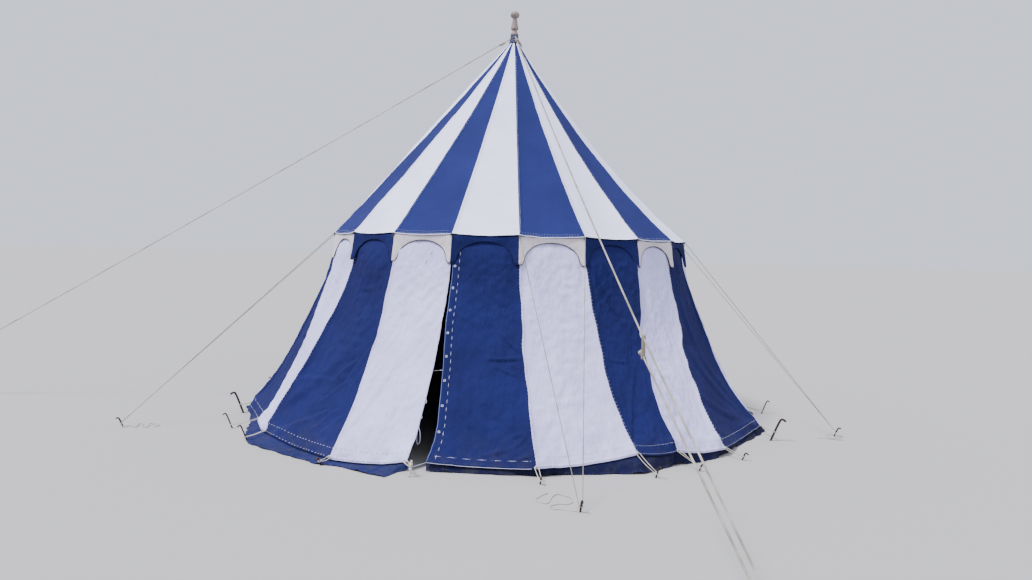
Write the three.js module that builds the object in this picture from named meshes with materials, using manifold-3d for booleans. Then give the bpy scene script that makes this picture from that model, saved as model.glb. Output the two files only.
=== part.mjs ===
// A round pavilion tent with a single pole, twenty striped gores, an arched valance and flared walls.
// The origin is the foot of the pole on the ground, +Z is up and the door faces -Y. Millimetres.
import * as THREE from "three";
import { mergeVertices } from "three/addons/utils/BufferGeometryUtils.js";
import Module from "manifold-3d";

const wasm = await Module();
wasm.setup();

// Driving dimensions of the cloth.
const BAYS = 20;
const EAVE_HEIGHT = 1800;
const EAVE_RADIUS = 1803;
const HEM_RADIUS = 2600;
const ROOF_TOP_HEIGHT = 3815;
const ROOF_TOP_RADIUS = 50;
const CLOTH = 5;
const SEAM_GAP = 0.2;
const SEAT_GAP = 0.4;

// The roof sags most on one side, and its lower edge dips between the corners.
const ROOF_DROP = 6;
const ROOF_SAG = 70;
const ROOF_SAG_SIDE = 110;
const EAVE_DIP = 20;
const CROWN_RING = { inner: 34, outer: 58, height: 15 };
const BLUE_TOP_RADIUS = 72;
const INNER_BAND = { from: 76, to: 120, below: 1, drop: 6 };
const ROOF_STATIONS = [130, 350, 650, 1000, 1350, 1720, EAVE_RADIUS];

// The valance hangs from the eave, deep at the corners and shallow at the crown of each arch.
const VALANCE_DEPTH = 245;
const VALANCE_FLARE = 0.13;
const VALANCE_CLOTH = 4;
const VALANCE_TOP_GAP = 1;
const ARCH_DEPTH = 82;
const ARCH_FLATNESS = 2.6;

// The walls hang a little inside the valance and flare outwards on the way down.
const WALL_TOP_RADIUS = 1745;
const WALL_SLOPE = 0.26;
const HEM_HEIGHT = 55;
const HEM_LIFT = { height: 85, azimuth: 43, width: 17 };
// How far the pegs have pulled the foot of a seam sideways, in degrees, and outwards, by its number
// from the door. The pull grows towards the foot by a power of the depth below the eave.
const SEAM_STRAY = { "-4": 5, "-3": 6, "-1": 3, 1: 3, 2: 4, 3: -5, 4: -11, 5: -7, 6: -3 };
const SEAM_REACH = { "-3": -80 };
const STRAY_POWER = 1.3;
const REACH_POWER = 2;
// The free edge of the door flap stands aside by this width at the ground, and by less up to the top.
const DOOR_GAP = { width: 138, top: 1500, power: 1.2 };

// The mud flap runs from the hem to the ground, and its edge lies this far outside the hem at a seam,
// by its number from the door.
const FLAP_REACH = { "-3": 70, "-2": 110, "-1": 120, 0: 60, 1: 12, 2: 105, 3: 15, 4: 10, 5: 40 };
const FLAP_REACH_ELSEWHERE = 60;

// The hem rope lies against the wall above the hem, with a loop round a peg at each seam. Some pegs
// are driven deeper, by the seam's number from the door.
const HEM_ROPE_RADIUS = 4;
const HEM_ROPE_RISE = 14;
const HEM_ROPE_SLANT = 1.33;
const HEM_PEG = { radius: 6, height: 130, out: 150, loopHeight: 34, bite: 2.5, strandStep: 0.012, endTrim: 0.01 };
const HEM_PEG_HEIGHTS = { "-1": 50, 0: 100, 1: 50, 2: 85, 3: 50, 4: 55 };
const RUN_NAMES = ["front_right", "back_right", "back_left", "front_left"];

// Centre pole and what sits on its top.
const POLE_RADIUS = 30;
const COLLAR_PROFILE = [[44, 0], [51, 9], [52.5, 20], [49, 33], [38, 47], [36, 50]];
const COLLAR_HEIGHT = 50;
const ROPE_BAND_HEIGHT = 45;
const FINIAL_PROFILE = [
  [39, 0], [38, 8], [31, 26], [25, 42], [25, 50], [36, 55], [39, 60], [38.5, 68], [31, 108],
  [24.5, 152], [21.5, 166], [24, 172], [38, 180], [45, 192], [46.5, 204], [42, 220], [30, 232], [14, 238.5],
];
const FINIAL_HEIGHT = 240;

// Storm ropes, their runners and pegs, by azimuth from the door and distance from the pole.
const STORM = {
  ropeRadius: 6, ringPitch: 15.8, knotRadius: 11.4, pegRadius: 8, pegHeight: 190, loopHeight: 60, loopRise: 14,
};
const STORM_STAYS = [
  { side: "left", azimuth: -74.6, reach: 6400, runnerAt: 0.845, sag: 20, turn: 0 },
  { side: "front", azimuth: 27.9, reach: 5400, runnerAt: 0.69, sag: 90, turn: 1 },
  { side: "back", azimuth: 168, reach: 6000, runnerAt: 0.8, sag: 40, turn: 2 },
];
const RUNNER = {
  length: 150, width: 32, depth: 20, holeFromEnd: 22, clearance: 0.7, ropePast: 24, holeReach: 60,
};

// Pegs lean outwards, in degrees, and the hook's measures are in radii of the peg.
const PEG_LEAN = 22;
const PEG_HOOK = { below: 4, bendOut: 1.2, bendUp: 1.4, endOut: 4, endUp: 0.6 };
const RING_SEGMENTS = 16;

// Eave guys run from two neighbouring corners to one peg.
const GUY = { ropeRadius: 3, pegRadius: 7, pegHeight: 75, loopHeight: 40, knotRadius: 8 };
const GUY_STAYS = [
  { side: "left", corners: [-4, -3], azimuth: -54, reach: 3650 },
  { side: "front", corners: [1, 2], azimuth: 24, reach: 3360 },
  { side: "right", corners: [5, 6], azimuth: 88, reach: 3265 },
  { side: "back", corners: [-9, -8], azimuth: -153, reach: 3500 },
];

// Loose rope tails lie on the ground beside the guy pegs. Each point is the distance outwards from
// the peg, the distance to its right seen from the pole, and the height of the rope's middle.
const TAIL_RADIUS = 3;
const TAIL_ROUTES = {
  left: [
    [16, 17.4, 42], [9, 25, 16], [-16, 30, 6], [-62, -24, 4.5], [-98, 56, 4.2], [-124, -60, 4.2],
    [-140, -96, 4.2], [-160, -40, 4.2], [-170, 60, 4.2], [-196, 88, 4.2], [-214, 20, 4.2],
    [-216, -90, 4.2], [-244, -70, 4.2], [-246, 30, 4.2], [-272, 64, 4.2], [-300, 24, 4.2], [-282, -50, 4.2],
  ],
  front: [
    [16, -17.4, 42], [10, -26, 16], [-20, -46, 4.5], [-49, -110, 4.2], [-60, -160, 4.2], [-108, -176, 4.2],
    [-160, -110, 4.2], [-151, -43, 4.2], [-190, -10, 4.2], [-270, 2, 4.2], [-320, -20, 4.2],
    [-364, -72, 4.2], [-310, -120, 4.2], [-230, -150, 4.2], [-175, -190, 4.2], [-215, -226, 4.2],
    [-264, -240, 4.2], [-340, -190, 4.2], [-396, -134, 4.2],
  ],
  right: [
    [16, -17.4, 42], [12, -26, 14], [10, -44, 4.5], [50, -50, 4.2], [74, -10, 4.2], [60, 44, 4.2],
    [6, 64, 4.2], [-46, 44, 4.2], [-70, -6, 4.2], [-58, -60, 4.2], [-10, -96, 4.2], [50, -100, 4.2],
    [76, -130, 4.2], [40, -156, 4.2], [-30, -144, 4.2], [-90, -130, 4.2], [-150, -132, 4.2],
  ],
};

const materials = {
  blueCanvas: new THREE.MeshStandardMaterial({ color: "#3a4c93", roughness: 0.9 }),
  whiteCanvas: new THREE.MeshStandardMaterial({ color: "#d5d3de", roughness: 0.9 }),
  creamCanvas: new THREE.MeshStandardMaterial({ color: "#cfc9c0", roughness: 0.9 }),
  wood: new THREE.MeshStandardMaterial({ color: "#b08a66", roughness: 0.6 }),
  rope: new THREE.MeshStandardMaterial({ color: "#b9b09c", roughness: 0.95 }),
  iron: new THREE.MeshStandardMaterial({ color: "#2b2826", roughness: 0.7, metalness: 0.8 }),
};

const tent = new THREE.Group();
tent.name = "pavilion_tent";

const radians = THREE.MathUtils.degToRad;
const mix = THREE.MathUtils.lerp;
const clamp = THREE.MathUtils.clamp;

// A point at a distance from the pole, by azimuth in degrees from the door, turning towards +X.
function polar(radius, azimuth, z) {
  const a = radians(azimuth);
  return new THREE.Vector3(radius * Math.sin(a), -radius * Math.cos(a), z);
}

function addPiece(name, geometry, material) {
  const mesh = new THREE.Mesh(geometry, material.clone());
  mesh.name = name;
  tent.add(mesh);
}

function toSolid(geometry) {
  const bare = geometry.index ? geometry.toNonIndexed() : geometry.clone();
  bare.deleteAttribute("normal");
  bare.deleteAttribute("uv");
  const merged = mergeVertices(bare, 1e-3);
  return new wasm.Manifold(new wasm.Mesh({
    numProp: 3,
    vertProperties: new Float32Array(merged.attributes.position.array),
    triVerts: new Uint32Array(merged.index.array),
  }));
}

function fromSolid(solid) {
  const mesh = solid.getMesh();
  const geometry = new THREE.BufferGeometry();
  geometry.setAttribute("position", new THREE.BufferAttribute(mesh.vertProperties, 3));
  geometry.setIndex(new THREE.BufferAttribute(mesh.triVerts, 1));
  return geometry;
}

function join(geometries) {
  return fromSolid(geometries.map(toSolid).reduce((whole, piece) => whole.add(piece)));
}

// A closed sheet between an outer and an inner face. Each face is a function of the share of the way
// across and the share of the way up. A ring has no side edges, because its last column is its first.
function closedSheet({ columns, rows, outer, inner, ring = false }) {
  const columnCount = ring ? columns : columns + 1;
  const positions = [];
  const indices = [];
  for (const face of [outer, inner])
    for (let row = 0; row <= rows; row++)
      for (let column = 0; column < columnCount; column++)
        positions.push(...face(column / columns, row / rows).toArray());
  const at = (side, column, row) => (side * (rows + 1) + row) * columnCount + (column % columnCount);
  const quad = (a, b, c, d) => indices.push(a, b, c, a, c, d);
  for (let column = 0; column < columns; column++) {
    const next = column + 1;
    for (let row = 0; row < rows; row++) {
      quad(at(0, column, row), at(0, next, row), at(0, next, row + 1), at(0, column, row + 1));
      quad(at(1, next, row), at(1, column, row), at(1, column, row + 1), at(1, next, row + 1));
    }
    quad(at(0, next, 0), at(0, column, 0), at(1, column, 0), at(1, next, 0));
    quad(at(0, column, rows), at(0, next, rows), at(1, next, rows), at(1, column, rows));
  }
  for (let row = 0; row < rows && !ring; row++) {
    quad(at(0, 0, row), at(0, 0, row + 1), at(1, 0, row + 1), at(1, 0, row));
    quad(at(0, columns, row + 1), at(0, columns, row), at(1, columns, row), at(1, columns, row + 1));
  }
  const geometry = new THREE.BufferGeometry();
  geometry.setAttribute("position", new THREE.Float32BufferAttribute(positions, 3));
  geometry.setIndex(indices);
  return geometry;
}

// A path whose rings stand exactly at the given points, so that straight runs need only two of them.
class StationCurve extends THREE.Curve {
  constructor(points) {
    super();
    this.points = points;
  }
  getPoint(t) {
    const place = clamp(t, 0, 1) * (this.points.length - 1);
    const index = Math.min(Math.floor(place), this.points.length - 2);
    return this.points[index].clone().lerp(this.points[index + 1], place - index);
  }
  getUtoTmapping(u) {
    return u;
  }
}

function ropeSection(radius, sides) {
  const section = new THREE.Shape();
  for (let side = 0; side < sides; side++) {
    const a = (side / sides) * 2 * Math.PI;
    const draw = side ? "lineTo" : "moveTo";
    section[draw](radius * Math.cos(a), radius * Math.sin(a));
  }
  section.closePath();
  return section;
}

function tube(curve, steps, radius, sides) {
  return new THREE.ExtrudeGeometry(ropeSection(radius, sides), { steps, extrudePath: curve });
}

function stationTube(points, radius, sides) {
  return tube(new StationCurve(points), points.length - 1, radius, sides);
}

function lathe(profile, segments) {
  const points = profile.map(([radius, z]) => new THREE.Vector2(radius, z));
  return new THREE.LatheGeometry(points, segments).rotateX(Math.PI / 2);
}

// A round solid ring with a round section, lying flat.
function ropeRing(radius, ropeRadius, segments) {
  const profile = [];
  for (let side = 0; side <= 8; side++) {
    const a = (-side / 8) * 2 * Math.PI;
    profile.push([radius + ropeRadius * Math.cos(a), ropeRadius * Math.sin(a)]);
  }
  return lathe(profile.reverse(), segments);
}

// A value given at whole seam numbers, in between them by straight lines.
function alongSeams(valueAt, seam) {
  const whole = Math.floor(seam);
  return mix(valueAt(whole), valueAt(whole + 1), seam - whole);
}

// The seam numbers run from -10 to 9, with 0 at the door.
function seamNumber(bayCorner) {
  return ((((bayCorner + BAYS / 2) % BAYS) + BAYS) % BAYS) - BAYS / 2;
}

const BAY_ANGLE = 360 / BAYS;

// Cloth between two seams is flat across: a point on the straight line between its two seam points.
function bayPoint(bay, across, seamPoint) {
  const from = seamPoint(bay);
  const to = seamPoint(bay + 1);
  const trim = SEAM_GAP / from.distanceTo(to);
  return from.lerp(to, mix(trim, 1 - trim, across));
}

// Roof. The height of a seam at a distance from the pole: a straight line less the sag.
function roofSeam(corner, radius, drop) {
  const share = (radius - ROOF_TOP_RADIUS) / (EAVE_RADIUS - ROOF_TOP_RADIUS);
  const azimuth = corner * BAY_ANGLE;
  const sag = ROOF_SAG * (1 + Math.cos(radians(azimuth - ROOF_SAG_SIDE)));
  const height = mix(ROOF_TOP_HEIGHT, EAVE_HEIGHT, share) - sag * 4 * share * (1 - share);
  return polar(radius, azimuth, height - drop);
}

function eaveDip(across, radius) {
  const share = (radius - ROOF_TOP_RADIUS) / (EAVE_RADIUS - ROOF_TOP_RADIUS);
  return EAVE_DIP * 4 * across * (1 - across) * share ** 3;
}

function roofPoint(bay, across, radius, drop) {
  const point = bayPoint(bay, across, (corner) => roofSeam(corner, radius, drop));
  point.z -= eaveDip(across, radius);
  return point;
}

function roofGore(bay, topRadius, topDrop) {
  const stations = [topRadius, ...ROOF_STATIONS];
  const rows = stations.length - 1;
  const radiusAt = (up) => stations[rows - Math.round(up * rows)];
  const dropAt = (radius) => (radius <= stations[1] ? topDrop : ROOF_DROP);
  return closedSheet({
    columns: 4,
    rows,
    outer: (across, up) => roofPoint(bay, across, radiusAt(up), 0),
    inner: (across, up) => roofPoint(bay, across, radiusAt(up), dropAt(radiusAt(up))),
  });
}

function makeRoof() {
  const crownBottom = ROOF_TOP_HEIGHT - CROWN_RING.height;
  const crownRing = lathe([
    [CROWN_RING.inner, crownBottom], [CROWN_RING.outer, crownBottom],
    [CROWN_RING.outer, ROOF_TOP_HEIGHT], [CROWN_RING.inner, ROOF_TOP_HEIGHT],
    [CROWN_RING.inner, crownBottom],
  ], 40);
  const bandTop = ROOF_DROP + INNER_BAND.below;
  const bandRadius = (up) => mix(INNER_BAND.to, INNER_BAND.from, up);
  const bandPoint = (around, up, drop) => {
    const place = around * BAYS;
    const bay = Math.floor(place);
    const from = roofSeam(bay, bandRadius(up), drop);
    return from.lerp(roofSeam(bay + 1, bandRadius(up), drop), place - bay);
  };
  const innerBand = closedSheet({
    columns: BAYS,
    rows: 1,
    ring: true,
    outer: (around, up) => bandPoint(around, up, bandTop),
    inner: (around, up) => bandPoint(around, up, bandTop + INNER_BAND.drop),
  });
  const white = [crownRing];
  const blue = [innerBand];
  for (let bay = 0; bay < BAYS; bay++) {
    if (bay % 2) blue.push(roofGore(bay, BLUE_TOP_RADIUS, bandTop + INNER_BAND.drop / 2));
    else white.push(roofGore(bay, ROOF_TOP_RADIUS, ROOF_DROP));
  }
  addPiece("roof_white_gores", join(white), materials.whiteCanvas);
  addPiece("roof_blue_gores", join(blue), materials.blueCanvas);
}

// Valance. Its lower edge is an arch in each bay: a flattened round curve.
function makeValance() {
  const columnsPerBay = 6;
  const ringPoint = (around, up, radius) => {
    const place = around * BAYS;
    const bay = Math.floor(place + 1e-9);
    const across = place - bay;
    const side = Math.abs(2 * across - 1);
    const arch = (1 - side ** ARCH_FLATNESS) ** (1 / ARCH_FLATNESS);
    const bottom = EAVE_HEIGHT - mix(VALANCE_DEPTH, ARCH_DEPTH, arch);
    const top = EAVE_HEIGHT - eaveDip(across, EAVE_RADIUS) - ROOF_DROP - VALANCE_TOP_GAP;
    const z = mix(bottom, top, up);
    const flared = radius + VALANCE_FLARE * (EAVE_HEIGHT - z);
    return polar(flared, bay * BAY_ANGLE, z).lerp(polar(flared, (bay + 1) * BAY_ANGLE, z), across);
  };
  addPiece("valance", closedSheet({
    columns: BAYS * columnsPerBay,
    rows: 1,
    ring: true,
    outer: (around, up) => ringPoint(around, up, EAVE_RADIUS),
    inner: (around, up) => ringPoint(around, up, EAVE_RADIUS - VALANCE_CLOTH),
  }), materials.creamCanvas);
}

// Walls. The distance from the pole grows with the depth below the eave.
function wallRadius(z) {
  const depth = Math.max(0, EAVE_HEIGHT - z);
  const full = EAVE_HEIGHT - HEM_HEIGHT;
  const bend = (HEM_RADIUS - WALL_TOP_RADIUS - WALL_SLOPE * full) / full ** 2;
  return WALL_TOP_RADIUS + WALL_SLOPE * depth + bend * depth ** 2;
}

function hemHeight(seam) {
  const off = (seam * BAY_ANGLE - HEM_LIFT.azimuth) / HEM_LIFT.width;
  return HEM_HEIGHT + HEM_LIFT.height * Math.exp(-(off ** 2));
}

function depthShare(z) {
  return clamp((EAVE_HEIGHT - z) / EAVE_HEIGHT, 0, 1);
}

function seamAzimuth(seam, z) {
  const stray = alongSeams((corner) => SEAM_STRAY[seamNumber(corner)] ?? 0, seam);
  return seam * BAY_ANGLE + stray * depthShare(z) ** STRAY_POWER;
}

function seamRadius(seam, z) {
  const reach = alongSeams((corner) => SEAM_REACH[seamNumber(corner)] ?? 0, seam);
  return wallRadius(z) + reach * depthShare(z) ** REACH_POWER;
}

function wallSeam(seam, z, inset) {
  return polar(seamRadius(seam, z) - inset, seamAzimuth(seam, z), z);
}

// Below the top of the door gap the flap's free edge is drawn aside.
function doorShare(z) {
  const opening = DOOR_GAP.width * (1 - Math.min(z, DOOR_GAP.top) / DOOR_GAP.top) ** DOOR_GAP.power;
  return opening / (wallRadius(z) * radians(BAY_ANGLE));
}

function wallPoint(bay, across, up, inset) {
  const isFlap = bay === 0;
  const hemStart = isFlap ? doorShare(HEM_HEIGHT) : 0;
  const low = mix(hemHeight(bay), hemHeight(bay + 1), mix(hemStart, 1, across));
  const high = roofPoint(bay, across, WALL_TOP_RADIUS - inset, ROOF_DROP + 2 * SEAT_GAP).z;
  const z = mix(low, high, up);
  const start = isFlap ? doorShare(z) : 0;
  return bayPoint(bay, mix(start, 1, across), (seam) => wallSeam(seam, z, inset));
}

function makeWalls() {
  for (let bay = 0; bay < BAYS; bay++) {
    const blue = bay % 2 === 0;
    const colour = blue ? "blue" : "white";
    const name = bay === 0 ? "door_flap" : `wall_${String(bay).padStart(2, "0")}_${colour}`;
    addPiece(name, closedSheet({
      columns: 4,
      rows: 6,
      outer: (across, up) => wallPoint(bay, across, up, 0),
      inner: (across, up) => wallPoint(bay, across, up, CLOTH),
    }), blue ? materials.blueCanvas : materials.whiteCanvas);
  }
}

// Mud flap. It starts under the hem and spreads on the ground, a little more to the front.
function hemPoint(seam, drop, inset) {
  const bay = Math.floor(seam);
  const z = alongSeams(hemHeight, seam);
  const point = wallSeam(bay, hemHeight(bay), inset).lerp(wallSeam(bay + 1, hemHeight(bay + 1), inset), seam - bay);
  point.z = z - drop;
  return point;
}

function flapPoint(seam, up, lift, inset) {
  const top = hemPoint(seam, SEAT_GAP, inset);
  const reach = alongSeams((corner) => FLAP_REACH[seamNumber(corner)] ?? FLAP_REACH_ELSEWHERE, seam);
  const ground = hemPoint(seam, 0, inset - reach);
  ground.z = lift;
  return top.lerp(ground, 1 - up);
}

function makeMudFlap() {
  const doorSeam = DOOR_GAP.width / (HEM_RADIUS * radians(BAY_ANGLE));
  const halves = { mud_flap_right: [doorSeam, BAYS / 2 - 0.001], mud_flap_left: [-BAYS / 2 + 0.001, 0] };
  for (const [name, [from, to]] of Object.entries(halves)) {
    const stations = [from];
    for (let half = Math.floor(from * 2) + 1; half / 2 < to; half++) stations.push(half / 2);
    stations.push(to);
    const columns = stations.length - 1;
    const seamAt = (across) => stations[Math.round(across * columns)];
    addPiece(name, closedSheet({
      columns,
      rows: 2,
      outer: (across, up) => flapPoint(seamAt(across), up, CLOTH, 0),
      inner: (across, up) => flapPoint(seamAt(across), up, 0, CLOTH),
    }), materials.blueCanvas);
  }
}

// Where the middle of a leaning peg is at a height.
function pegMiddle(foot, azimuth, z) {
  return foot.clone().addScaledVector(polar(1, azimuth, 0), z * Math.tan(radians(PEG_LEAN))).setZ(z);
}

// Pegs lean away from the tent and end in a short hook. They are cut off at the ground.
function leaningPeg({ foot, azimuth, height, radius }) {
  const out = polar(1, azimuth, 0);
  const top = pegMiddle(foot, azimuth, height);
  const below = pegMiddle(foot, azimuth, -radius * PEG_HOOK.below);
  const hookBend = top.clone().addScaledVector(out, radius * PEG_HOOK.bendOut);
  hookBend.z += radius * PEG_HOOK.bendUp;
  const hookEnd = top.clone().addScaledVector(out, radius * PEG_HOOK.endOut);
  hookEnd.z += radius * PEG_HOOK.endUp;
  const rod = toSolid(stationTube([below, top, hookBend, hookEnd], radius, 6));
  return fromSolid(rod.trimByPlane([0, 0, 1], 0));
}

// The half turn of a rope round the far side of a peg, from one side to the other.
function pegLoop({ foot, azimuth, z, rise, reach, turns = 8 }) {
  const out = polar(1, azimuth, 0);
  const side = polar(1, azimuth + 90, 0);
  const points = [];
  for (let turn = 0; turn <= turns; turn++) {
    const a = Math.PI * (turn / turns);
    const height = z + rise * (0.5 - turn / turns);
    const middle = pegMiddle(foot, azimuth, height);
    points.push(middle.addScaledVector(side, reach * Math.cos(a)).addScaledVector(out, reach * Math.sin(a)));
  }
  return points;
}

// A level cut through a leaning peg is longer than the peg is thick.
function loopReach({ pegRadius, ropeRadius }) {
  return pegRadius / Math.cos(radians(PEG_LEAN)) + ropeRadius + 2 * SEAT_GAP;
}

// Storm ropes. A ring round the pole, the long run through the runner's upper hole, the turn round
// the peg and the strand back through the lower hole, where a knot holds it.
function stormLine({ azimuth, reach, runnerAt, sag, turn }) {
  const ringHeight = ROOF_TOP_HEIGHT + SEAT_GAP + COLLAR_HEIGHT + STORM.ropeRadius + SEAT_GAP;
  const z = ringHeight + turn * STORM.ringPitch;
  const ringRadius = (POLE_RADIUS + SEAT_GAP) / Math.cos(Math.PI / RING_SEGMENTS) + STORM.ropeRadius;
  const start = polar(ringRadius, azimuth, z);
  const foot = polar(reach, azimuth, 0);
  const pegTurn = pegMiddle(foot, azimuth, STORM.loopHeight);
  const run = (share) => {
    const point = start.clone().lerp(pegTurn, share);
    point.z -= sag * 4 * share * (1 - share);
    return point;
  };
  const upper = run(runnerAt);
  const holeStep = RUNNER.length - 2 * RUNNER.holeFromEnd;
  const lower = upper.clone().setZ(upper.z - holeStep);
  return { azimuth, z, ringRadius, start, foot, run, upper, lower, runnerAt };
}

function makeStormStay(stay) {
  const line = stormLine(stay);
  const shares = [0, 0.2, 0.4, 0.6, 0.8, 0.97].map((share) => share * line.runnerAt);
  const onward = line.run(line.runnerAt).sub(line.run(line.runnerAt - 0.01)).normalize();
  const loop = pegLoop({
    foot: line.foot, azimuth: line.azimuth, z: STORM.loopHeight, rise: STORM.loopRise,
    reach: loopReach(STORM),
  });
  const back = loop[loop.length - 1].clone().sub(line.lower).normalize();
  const half = RUNNER.depth / 2 + RUNNER.ropePast;
  const points = [
    ...shares.map(line.run),
    line.upper.clone().addScaledVector(onward, -half), line.upper.clone().addScaledVector(onward, half),
    ...loop,
    line.lower.clone().addScaledVector(back, half), line.lower.clone().addScaledVector(back, -half),
  ];
  const ring = ropeRing(line.ringRadius, STORM.ropeRadius, RING_SEGMENTS).translate(0, 0, line.z);
  const end = points[points.length - 1];
  const knot = new THREE.IcosahedronGeometry(STORM.knotRadius, 1).translate(end.x, end.y, end.z);
  addPiece(`storm_rope_${stay.side}`, join([ring, stationTube(points, STORM.ropeRadius, 8), knot]), materials.rope);
  addPiece(`storm_runner_${stay.side}`, runnerBar(line, onward, back), materials.wood);
  addPiece(`storm_peg_${stay.side}`, leaningPeg({
    foot: line.foot, azimuth: line.azimuth, height: STORM.pegHeight, radius: STORM.pegRadius,
  }), materials.iron);
}

// The runner hangs upright, and both ropes pass through it along their own directions.
function runnerBar(line, onward, back) {
  const middle = line.upper.clone().lerp(line.lower, 0.5);
  const bar = new THREE.BoxGeometry(RUNNER.width, RUNNER.depth, RUNNER.length)
    .rotateZ(radians(line.azimuth)).translate(middle.x, middle.y, middle.z);
  const hole = (centre, direction) => toSolid(stationTube([
    centre.clone().addScaledVector(direction, -RUNNER.holeReach),
    centre.clone().addScaledVector(direction, RUNNER.holeReach),
  ], STORM.ropeRadius + RUNNER.clearance, 12));
  return fromSolid(toSolid(bar).subtract(hole(line.upper, onward)).subtract(hole(line.lower, back)));
}

// Eave guys.
function makeGuyStay({ side, corners, azimuth, reach }) {
  const foot = polar(reach, azimuth, 0);
  const knotCentre = (corner) => {
    const out = EAVE_RADIUS + SEAT_GAP + GUY.knotRadius;
    return polar(out, corner * BAY_ANGLE, EAVE_HEIGHT - ROOF_DROP / 2);
  };
  const loop = pegLoop({
    foot, azimuth, z: GUY.loopHeight, rise: 0, reach: loopReach(GUY),
  });
  const knots = corners.map(knotCentre);
  const points = [knots[1], ...loop, knots[0]];
  const balls = knots.map((centre) =>
    new THREE.IcosahedronGeometry(GUY.knotRadius, 1).translate(centre.x, centre.y, centre.z));
  addPiece(`guy_rope_${side}`, join([stationTube(points, GUY.ropeRadius, 8), ...balls]), materials.rope);
  addPiece(`guy_peg_${side}`, leaningPeg({
    foot, azimuth, height: GUY.pegHeight, radius: GUY.pegRadius,
  }), materials.iron);
}

function makeTail(side, route) {
  const stay = GUY_STAYS.find((guy) => guy.side === side);
  const foot = polar(stay.reach, stay.azimuth, 0);
  const out = polar(1, stay.azimuth, 0);
  const right = polar(1, stay.azimuth + 90, 0);
  const points = route.map(([outwards, rightwards, height]) =>
    foot.clone().addScaledVector(out, outwards).addScaledVector(right, rightwards).setZ(height));
  addPiece(`rope_tail_${side}`, tube(new THREE.CatmullRomCurve3(points), 60, TAIL_RADIUS, 8), materials.rope);
}

// Hem rope in four runs. It lies against the outside of the wall, a little above the hem.
function hemRopePoint(seam) {
  const bay = Math.floor(seam);
  const offset = (HEM_ROPE_RADIUS + SEAT_GAP) * HEM_ROPE_SLANT;
  const at = (corner) => wallSeam(corner, hemHeight(corner) + HEM_ROPE_RISE, -offset);
  return at(bay).lerp(at(bay + 1), seam - bay);
}

// One strand leaves the hem rope on each side of the seam and they meet round the peg.
function hemPegWithLoop(seam) {
  const azimuth = seamAzimuth(seam, 0);
  const foot = polar(HEM_RADIUS + HEM_PEG.out, azimuth, 0);
  const height = HEM_PEG_HEIGHTS[seamNumber(seam)] ?? HEM_PEG.height;
  const peg = leaningPeg({ foot, azimuth, height, radius: HEM_PEG.radius });
  const reach = HEM_PEG.radius + HEM_ROPE_RADIUS - HEM_PEG.bite;
  const loop = pegLoop({ foot, azimuth, z: HEM_PEG.loopHeight, rise: 0, reach, turns: 4 });
  const ends = [seam + HEM_PEG.strandStep, seam - HEM_PEG.strandStep].map(hemRopePoint);
  return [peg, stationTube([ends[0], ...loop, ends[1]], HEM_ROPE_RADIUS, 5)];
}

function makeHemRopes() {
  const baysPerRun = BAYS / RUN_NAMES.length;
  RUN_NAMES.forEach((name, run) => {
    const first = run * baysPerRun;
    const points = [];
    for (let step = -1; step < baysPerRun * 2; step++) points.push(hemRopePoint(first + step / 2));
    points[0].lerp(points[1], HEM_PEG.endTrim);
    points[points.length - 1].lerp(points[points.length - 2], HEM_PEG.endTrim);
    const pieces = [stationTube(points, HEM_ROPE_RADIUS, 5)];
    for (let seam = first; seam < first + baysPerRun; seam++) pieces.push(...hemPegWithLoop(seam));
    addPiece(`hem_rope_${name}`, join(pieces), materials.rope);
  });
}

function makePole() {
  const top = ROOF_TOP_HEIGHT + SEAT_GAP + COLLAR_HEIGHT + ROPE_BAND_HEIGHT;
  const pole = new THREE.CylinderGeometry(POLE_RADIUS, POLE_RADIUS, top, 24);
  addPiece("centre_pole", pole.rotateX(Math.PI / 2).translate(0, 0, top / 2), materials.wood);
  const collarBottom = ROOF_TOP_HEIGHT + SEAT_GAP;
  const bore = POLE_RADIUS + SEAT_GAP;
  const collar = [[bore, 0], ...COLLAR_PROFILE, [bore, COLLAR_HEIGHT], [bore, 0]];
  const raised = collar.map(([radius, z]) => [radius, z + collarBottom]);
  addPiece("crown_collar", lathe(raised, 32), materials.blueCanvas);
  const finialBottom = top + SEAT_GAP;
  const profile = [[0, 0], ...FINIAL_PROFILE, [0, FINIAL_HEIGHT]];
  addPiece("pole_finial", lathe(profile.map(([radius, z]) => [radius, z + finialBottom]), 28), materials.wood);
}

makePole();
makeRoof();
makeValance();
makeWalls();
makeMudFlap();
makeHemRopes();
STORM_STAYS.forEach(makeStormStay);
GUY_STAYS.forEach(makeGuyStay);
Object.entries(TAIL_ROUTES).forEach(([side, route]) => makeTail(side, route));

export default tent;
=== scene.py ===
import math

import bpy
import numpy as np
from mathutils import Matrix, Vector


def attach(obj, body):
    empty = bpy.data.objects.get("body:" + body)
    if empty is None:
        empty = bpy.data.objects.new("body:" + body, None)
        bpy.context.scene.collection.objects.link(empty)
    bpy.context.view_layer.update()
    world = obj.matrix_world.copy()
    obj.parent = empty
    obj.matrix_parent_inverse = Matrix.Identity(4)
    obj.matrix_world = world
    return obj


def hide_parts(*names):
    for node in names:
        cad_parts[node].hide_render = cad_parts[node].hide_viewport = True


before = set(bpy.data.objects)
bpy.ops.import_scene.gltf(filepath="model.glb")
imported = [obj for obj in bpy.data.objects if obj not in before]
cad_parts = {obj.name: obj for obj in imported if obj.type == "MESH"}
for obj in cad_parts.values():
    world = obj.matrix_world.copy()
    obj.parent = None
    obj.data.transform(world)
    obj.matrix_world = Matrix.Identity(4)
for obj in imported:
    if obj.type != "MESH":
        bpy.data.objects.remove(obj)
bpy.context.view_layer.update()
print("stage: frame loaded")

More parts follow.
